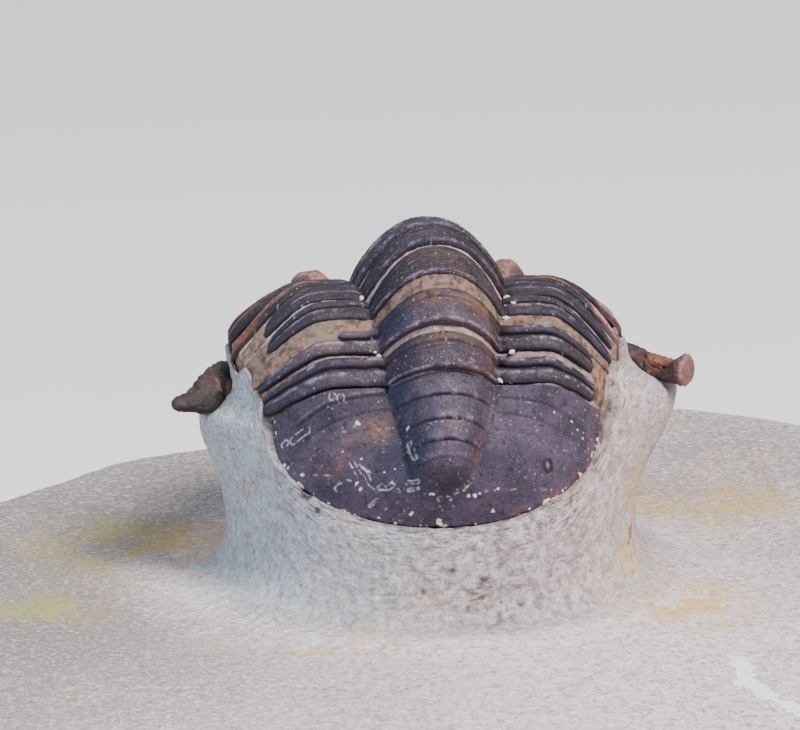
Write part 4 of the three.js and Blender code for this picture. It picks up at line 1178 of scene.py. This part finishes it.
def brown_shell_material():
    n = Nodes("brown_shell")
    grain = n.noise(0.09, 4, 0.6)
    fine = n.noise(0.25, 5, 0.6)
    n.colour = n.blend((0.020, 0.014, 0.014), (0.052, 0.031, 0.027), n.span(n.noise(0.9, 5), 0.36, 0.62))
    n.coat((0.042, 0.033, 0.047), n.times("dark", 0.85))
    pinkish = n.blend((0.26, 0.125, 0.112), (0.13, 0.06, 0.052), n.span(fine, 0.42, 0.62))
    n.coat(pinkish, n.attribute("pink"))
    n.coat((0.050, 0.034, 0.036), n.times("lens", 0.85))
    n.coat((0.34, 0.15, 0.055), n.times("orange", n.span(fine, 0.3, 0.55, 0.3, 0.9)))
    # Painted shade in the spines' hollows and holes, broken by rust
    deep = n.blend((0.030, 0.024, 0.024), (0.13, 0.042, 0.018), n.span(n.noise(0.4, 4), 0.46, 0.58))
    n.coat(deep, n.times("hollow", 0.9))
    n.coat((0.020, 0.014, 0.013), n.span(grain, 0.46, 0.34, 0, 0.55))
    n.coat((0.34, 0.26, 0.24), n.span(grain, 0.62, 0.76, 0, 0.45))
    lenses = n.math("MULTIPLY", n.cells(0.1), n.attribute("lens"))
    normal = n.bump(grain, 0.05, n.bump(lenses, -0.06))
    return n.finish(n.span(fine, 0.3, 0.7, 0.5, 0.75), 0.35, normal)


def stone_ground(n, fine, speckle):
    """The pale ground, its tints and its painted light and shade round the pedestal, and its coarse speckles.
    """
    n.colour = n.blend((0.53, 0.46, 0.475), (0.68, 0.605, 0.62), n.span(n.noise(6, 4), 0.36, 0.64))
    # Pink front: partly real tint, partly painted light
    n.coat((0.74, 0.65, 0.67), n.times("pink", 0.8))
    n.coat((0.20, 0.165, 0.175), n.times("wall", 0.78))
    # Painted light on the right front wall
    n.coat((0.72, 0.62, 0.60), n.times("pale", 0.6))
    mottle = n.times("wall", n.span(n.noise(1.1, 6, 0.7), 0.44, 0.62))
    n.coat((0.62, 0.545, 0.565), n.math("MULTIPLY", mottle, 0.42))
    # Painted cool shade on the left front wall
    n.coat((0.44, 0.53, 0.58), n.times("cool", 0.8))
    n.coat((0.21, 0.195, 0.185), n.times("shade", 0.72))
    n.coat((0.60, 0.46, 0.30), n.span(n.noise(3.4, 5), 0.55, 0.68, 0, 0.3))
    n.coat((0.36, 0.28, 0.26), n.span(fine, 0.5, 0.66, 0, 0.65))
    n.coat((0.66, 0.52, 0.33), n.span(n.noise(1.0, 5, 0.6), 0.56, 0.68, 0, 0.4))
    less_on_wall = n.span(n.attribute("wall"), 0, 1, 1, 0.45)
    n.coat((0.88, 0.81, 0.845), n.math("MULTIPLY", n.span(speckle, 0.54, 0.66, 0, 0.75), less_on_wall))


def stone_grit(n, grit, speckle):
    """Brown and white grit, and the dark blotches of the pedestal's front."""
    n.coat((0.27, 0.19, 0.175), n.span(grit, 0.54, 0.63, 0, 0.75))
    less_on_wall = n.span(n.attribute("wall"), 0, 1, 1, 0.4)
    n.coat((0.96, 0.90, 0.95), n.math("MULTIPLY", n.span(grit, 0.46, 0.38, 0, 0.75), less_on_wall))
    blotch = n.times("wall", n.attribute("pink"))
    blotch = n.math("MULTIPLY", blotch, n.span(n.noise(0.4, 6, 0.7), 0.48, 0.58, 0, 0.75))
    n.coat((0.17, 0.125, 0.13), blotch)
    n.coat((0.22, 0.195, 0.20), n.span(speckle, 0.44, 0.3, 0, 0.75))


def stone_shade_and_stains(n):
    n.coat((0.15, 0.135, 0.125), n.times("shade", 0.4))
    # The ochre stains turn darker and greener where the slab's shade is painted
    stain = n.blend((0.70, 0.42, 0.12), (0.40, 0.37, 0.12), n.attribute("shade"))
    broken = n.times("ochre", n.span(n.noise(2.0, 6, 0.65), 0.36, 0.58))
    n.coat(stain, n.math("MULTIPLY", broken, 0.68))


def tool_strokes(n):
    """Dark and light strokes along the shell's edge, and grey ones down the pedestal."""
    strokes = n.noise(0.1, 4, 0.6, n.strata(0.25))
    n.coat((0.10, 0.09, 0.10), n.times("near", n.span(strokes, 0.52, 0.62, 0, 0.95)))
    n.coat((0.74, 0.71, 0.72), n.times("near", n.span(strokes, 0.42, 0.34, 0, 0.5)))
    streaks = n.noise(0.16, 5, 0.65, n.stretched((1, 1, 0.16)))
    n.coat((0.30, 0.29, 0.30), n.times("wall", n.span(streaks, 0.52, 0.66, 0, 0.7)))


def tan_matrix(n, speckle):
    """The tan filling between the rings."""
    tan = n.blend((0.085, 0.053, 0.042), (0.235, 0.15, 0.122), n.span(n.noise(0.4, 6, 0.65), 0.38, 0.6))
    tan = n.blend(tan, (0.19, 0.155, 0.115), n.span(n.noise(1.5, 4), 0.52, 0.64, 0, 0.7))
    tan = n.blend(tan, (0.36, 0.16, 0.06), n.span(n.noise(0.8, 4), 0.58, 0.7, 0, 0.6))
    tan = n.blend(tan, (0.44, 0.34, 0.30), n.span(speckle, 0.58, 0.7, 0, 0.5))
    n.coat(tan, n.attribute("tan"))


def stone_damage(n):
    """Dark pits, a crack, the white scar and the chalky crumbs."""
    holes = n.times("wall", n.span(n.noise(0.17, 3), 0.66, 0.72, 0, 0.9))
    pits = n.math("MAXIMUM", n.attribute("pit"), holes)
    n.coat((0.09, 0.08, 0.08), n.math("MULTIPLY", pits, 0.85))
    ragged = n.span(n.noise(0.4, 3), 0.3, 0.7, -0.3, 0.3)
    n.coat((0.14, 0.11, 0.10), n.span(n.math("ADD", n.attribute("crack"), ragged), 0.8, 0.95, 0, 0.7))
    jagged = n.span(n.noise(0.8, 4, 0.6), 0.35, 0.65, -0.3, 0.3)
    scar = n.span(n.math("ADD", n.attribute("scar"), jagged), 0.6, 0.63)
    n.coat((0.93, 0.92, 0.95), n.math("MAXIMUM", n.attribute("chalk"), scar))


def limestone_material():
    n = Nodes("limestone")
    fine, speckle, grit = n.noise(0.5, 6, 0.6), n.noise(0.2, 4, 0.65), n.noise(0.26, 5, 0.8)
    stone_ground(n, fine, speckle)
    stone_grit(n, grit, speckle)
    stone_shade_and_stains(n)
    tool_strokes(n)
    tan_matrix(n, speckle)
    stone_damage(n)
    grain = n.bump(grit, 0.13, n.bump(n.noise(0.09, 3), 0.02))
    return n.finish(0.92, 0.2, n.bump(fine, 0.14, grain))


# Camera, light and floor
CAMERA_DISTANCE, CAMERA_LENS = 230, 258.75


def make_camera():
    """At the photograph's viewing angle: turned 5 degrees to the left of the animal and 15 degrees above."""
    right = Vector((0.9962, -0.0872, 0))
    forward = Vector((0.0842, 0.9623, -0.2588)).normalized()
    up = right.cross(forward).normalized()
    zero = Vector(ZERO.tolist())
    target = zero - right * 1.68 + up * 0.76
    place = (target - forward * CAMERA_DISTANCE) * MM
    data = bpy.data.cameras.new("camera")
    data.sensor_width, data.lens = 36, CAMERA_LENS
    data.clip_start, data.clip_end = 0.01, 10
    camera = bpy.data.objects.new("camera", data)
    turn = Matrix((right, up, -forward)).transposed()
    camera.matrix_world = Matrix.Translation(place) @ turn.to_4x4()
    bpy.context.collection.objects.link(camera)
    bpy.context.scene.camera = camera


def lamp(name, place, aim, size, power, colour):
    data = bpy.data.lights.new(name, "AREA")
    data.shape, data.size, data.energy, data.color = "DISK", size, power, colour
    light = bpy.data.objects.new(name, data)
    light.location = place
    light.rotation_mode = "QUATERNION"
    light.rotation_quaternion = (Vector(aim) - Vector(place)).to_track_quat("-Z", "Y")
    bpy.context.collection.objects.link(light)


def make_light():
    world = bpy.data.worlds.new("room")
    bpy.context.scene.world = world
    world.use_nodes = True
    background = world.node_tree.nodes["Background"]
    background.inputs["Color"].default_value = (0.86, 0.90, 1.0, 1)
    background.inputs["Strength"].default_value = 0.25
    aim = (0, 0, 0.02)
    lamp("key", (0.16, -0.2, 0.32), aim, 0.15, 4.1, (1.0, 0.935, 0.925))
    lamp("side", (-0.32, -0.16, 0.20), aim, 0.16, 1.4, (0.68, 0.80, 1.0))
    lamp("rear", (-0.05, 0.34, 0.28), aim, 0.12, 0.35, (1.0, 0.97, 0.94))


def make_floor():
    bpy.ops.mesh.primitive_plane_add(size=6, location=(0, 0, 0))
    floor = bpy.context.object
    floor.name = "floor"
    n = Nodes("floor")
    n.set("Base Color", (0.80, 0.80, 0.81, 1))
    n.set("Roughness", 0.9)
    floor.data.materials.append(n.material)


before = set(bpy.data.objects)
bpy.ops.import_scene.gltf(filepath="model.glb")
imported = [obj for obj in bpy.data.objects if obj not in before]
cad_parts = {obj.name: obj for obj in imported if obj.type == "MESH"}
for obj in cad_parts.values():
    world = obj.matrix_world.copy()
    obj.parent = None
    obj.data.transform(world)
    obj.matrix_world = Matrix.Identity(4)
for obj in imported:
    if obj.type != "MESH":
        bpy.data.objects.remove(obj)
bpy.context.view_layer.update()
make_camera()
dark, brown, limestone = dark_shell_material(), brown_shell_material(), limestone_material()
stone_piece(limestone)
tail_piece(dark)
for ring in range(len(RINGS)):
    ring_piece(ring, dark, len(RINGS) - ring)
head_middle_piece(dark)
cheek_piece("left", brown)
cheek_piece("right", brown)
make_light()
make_floor()
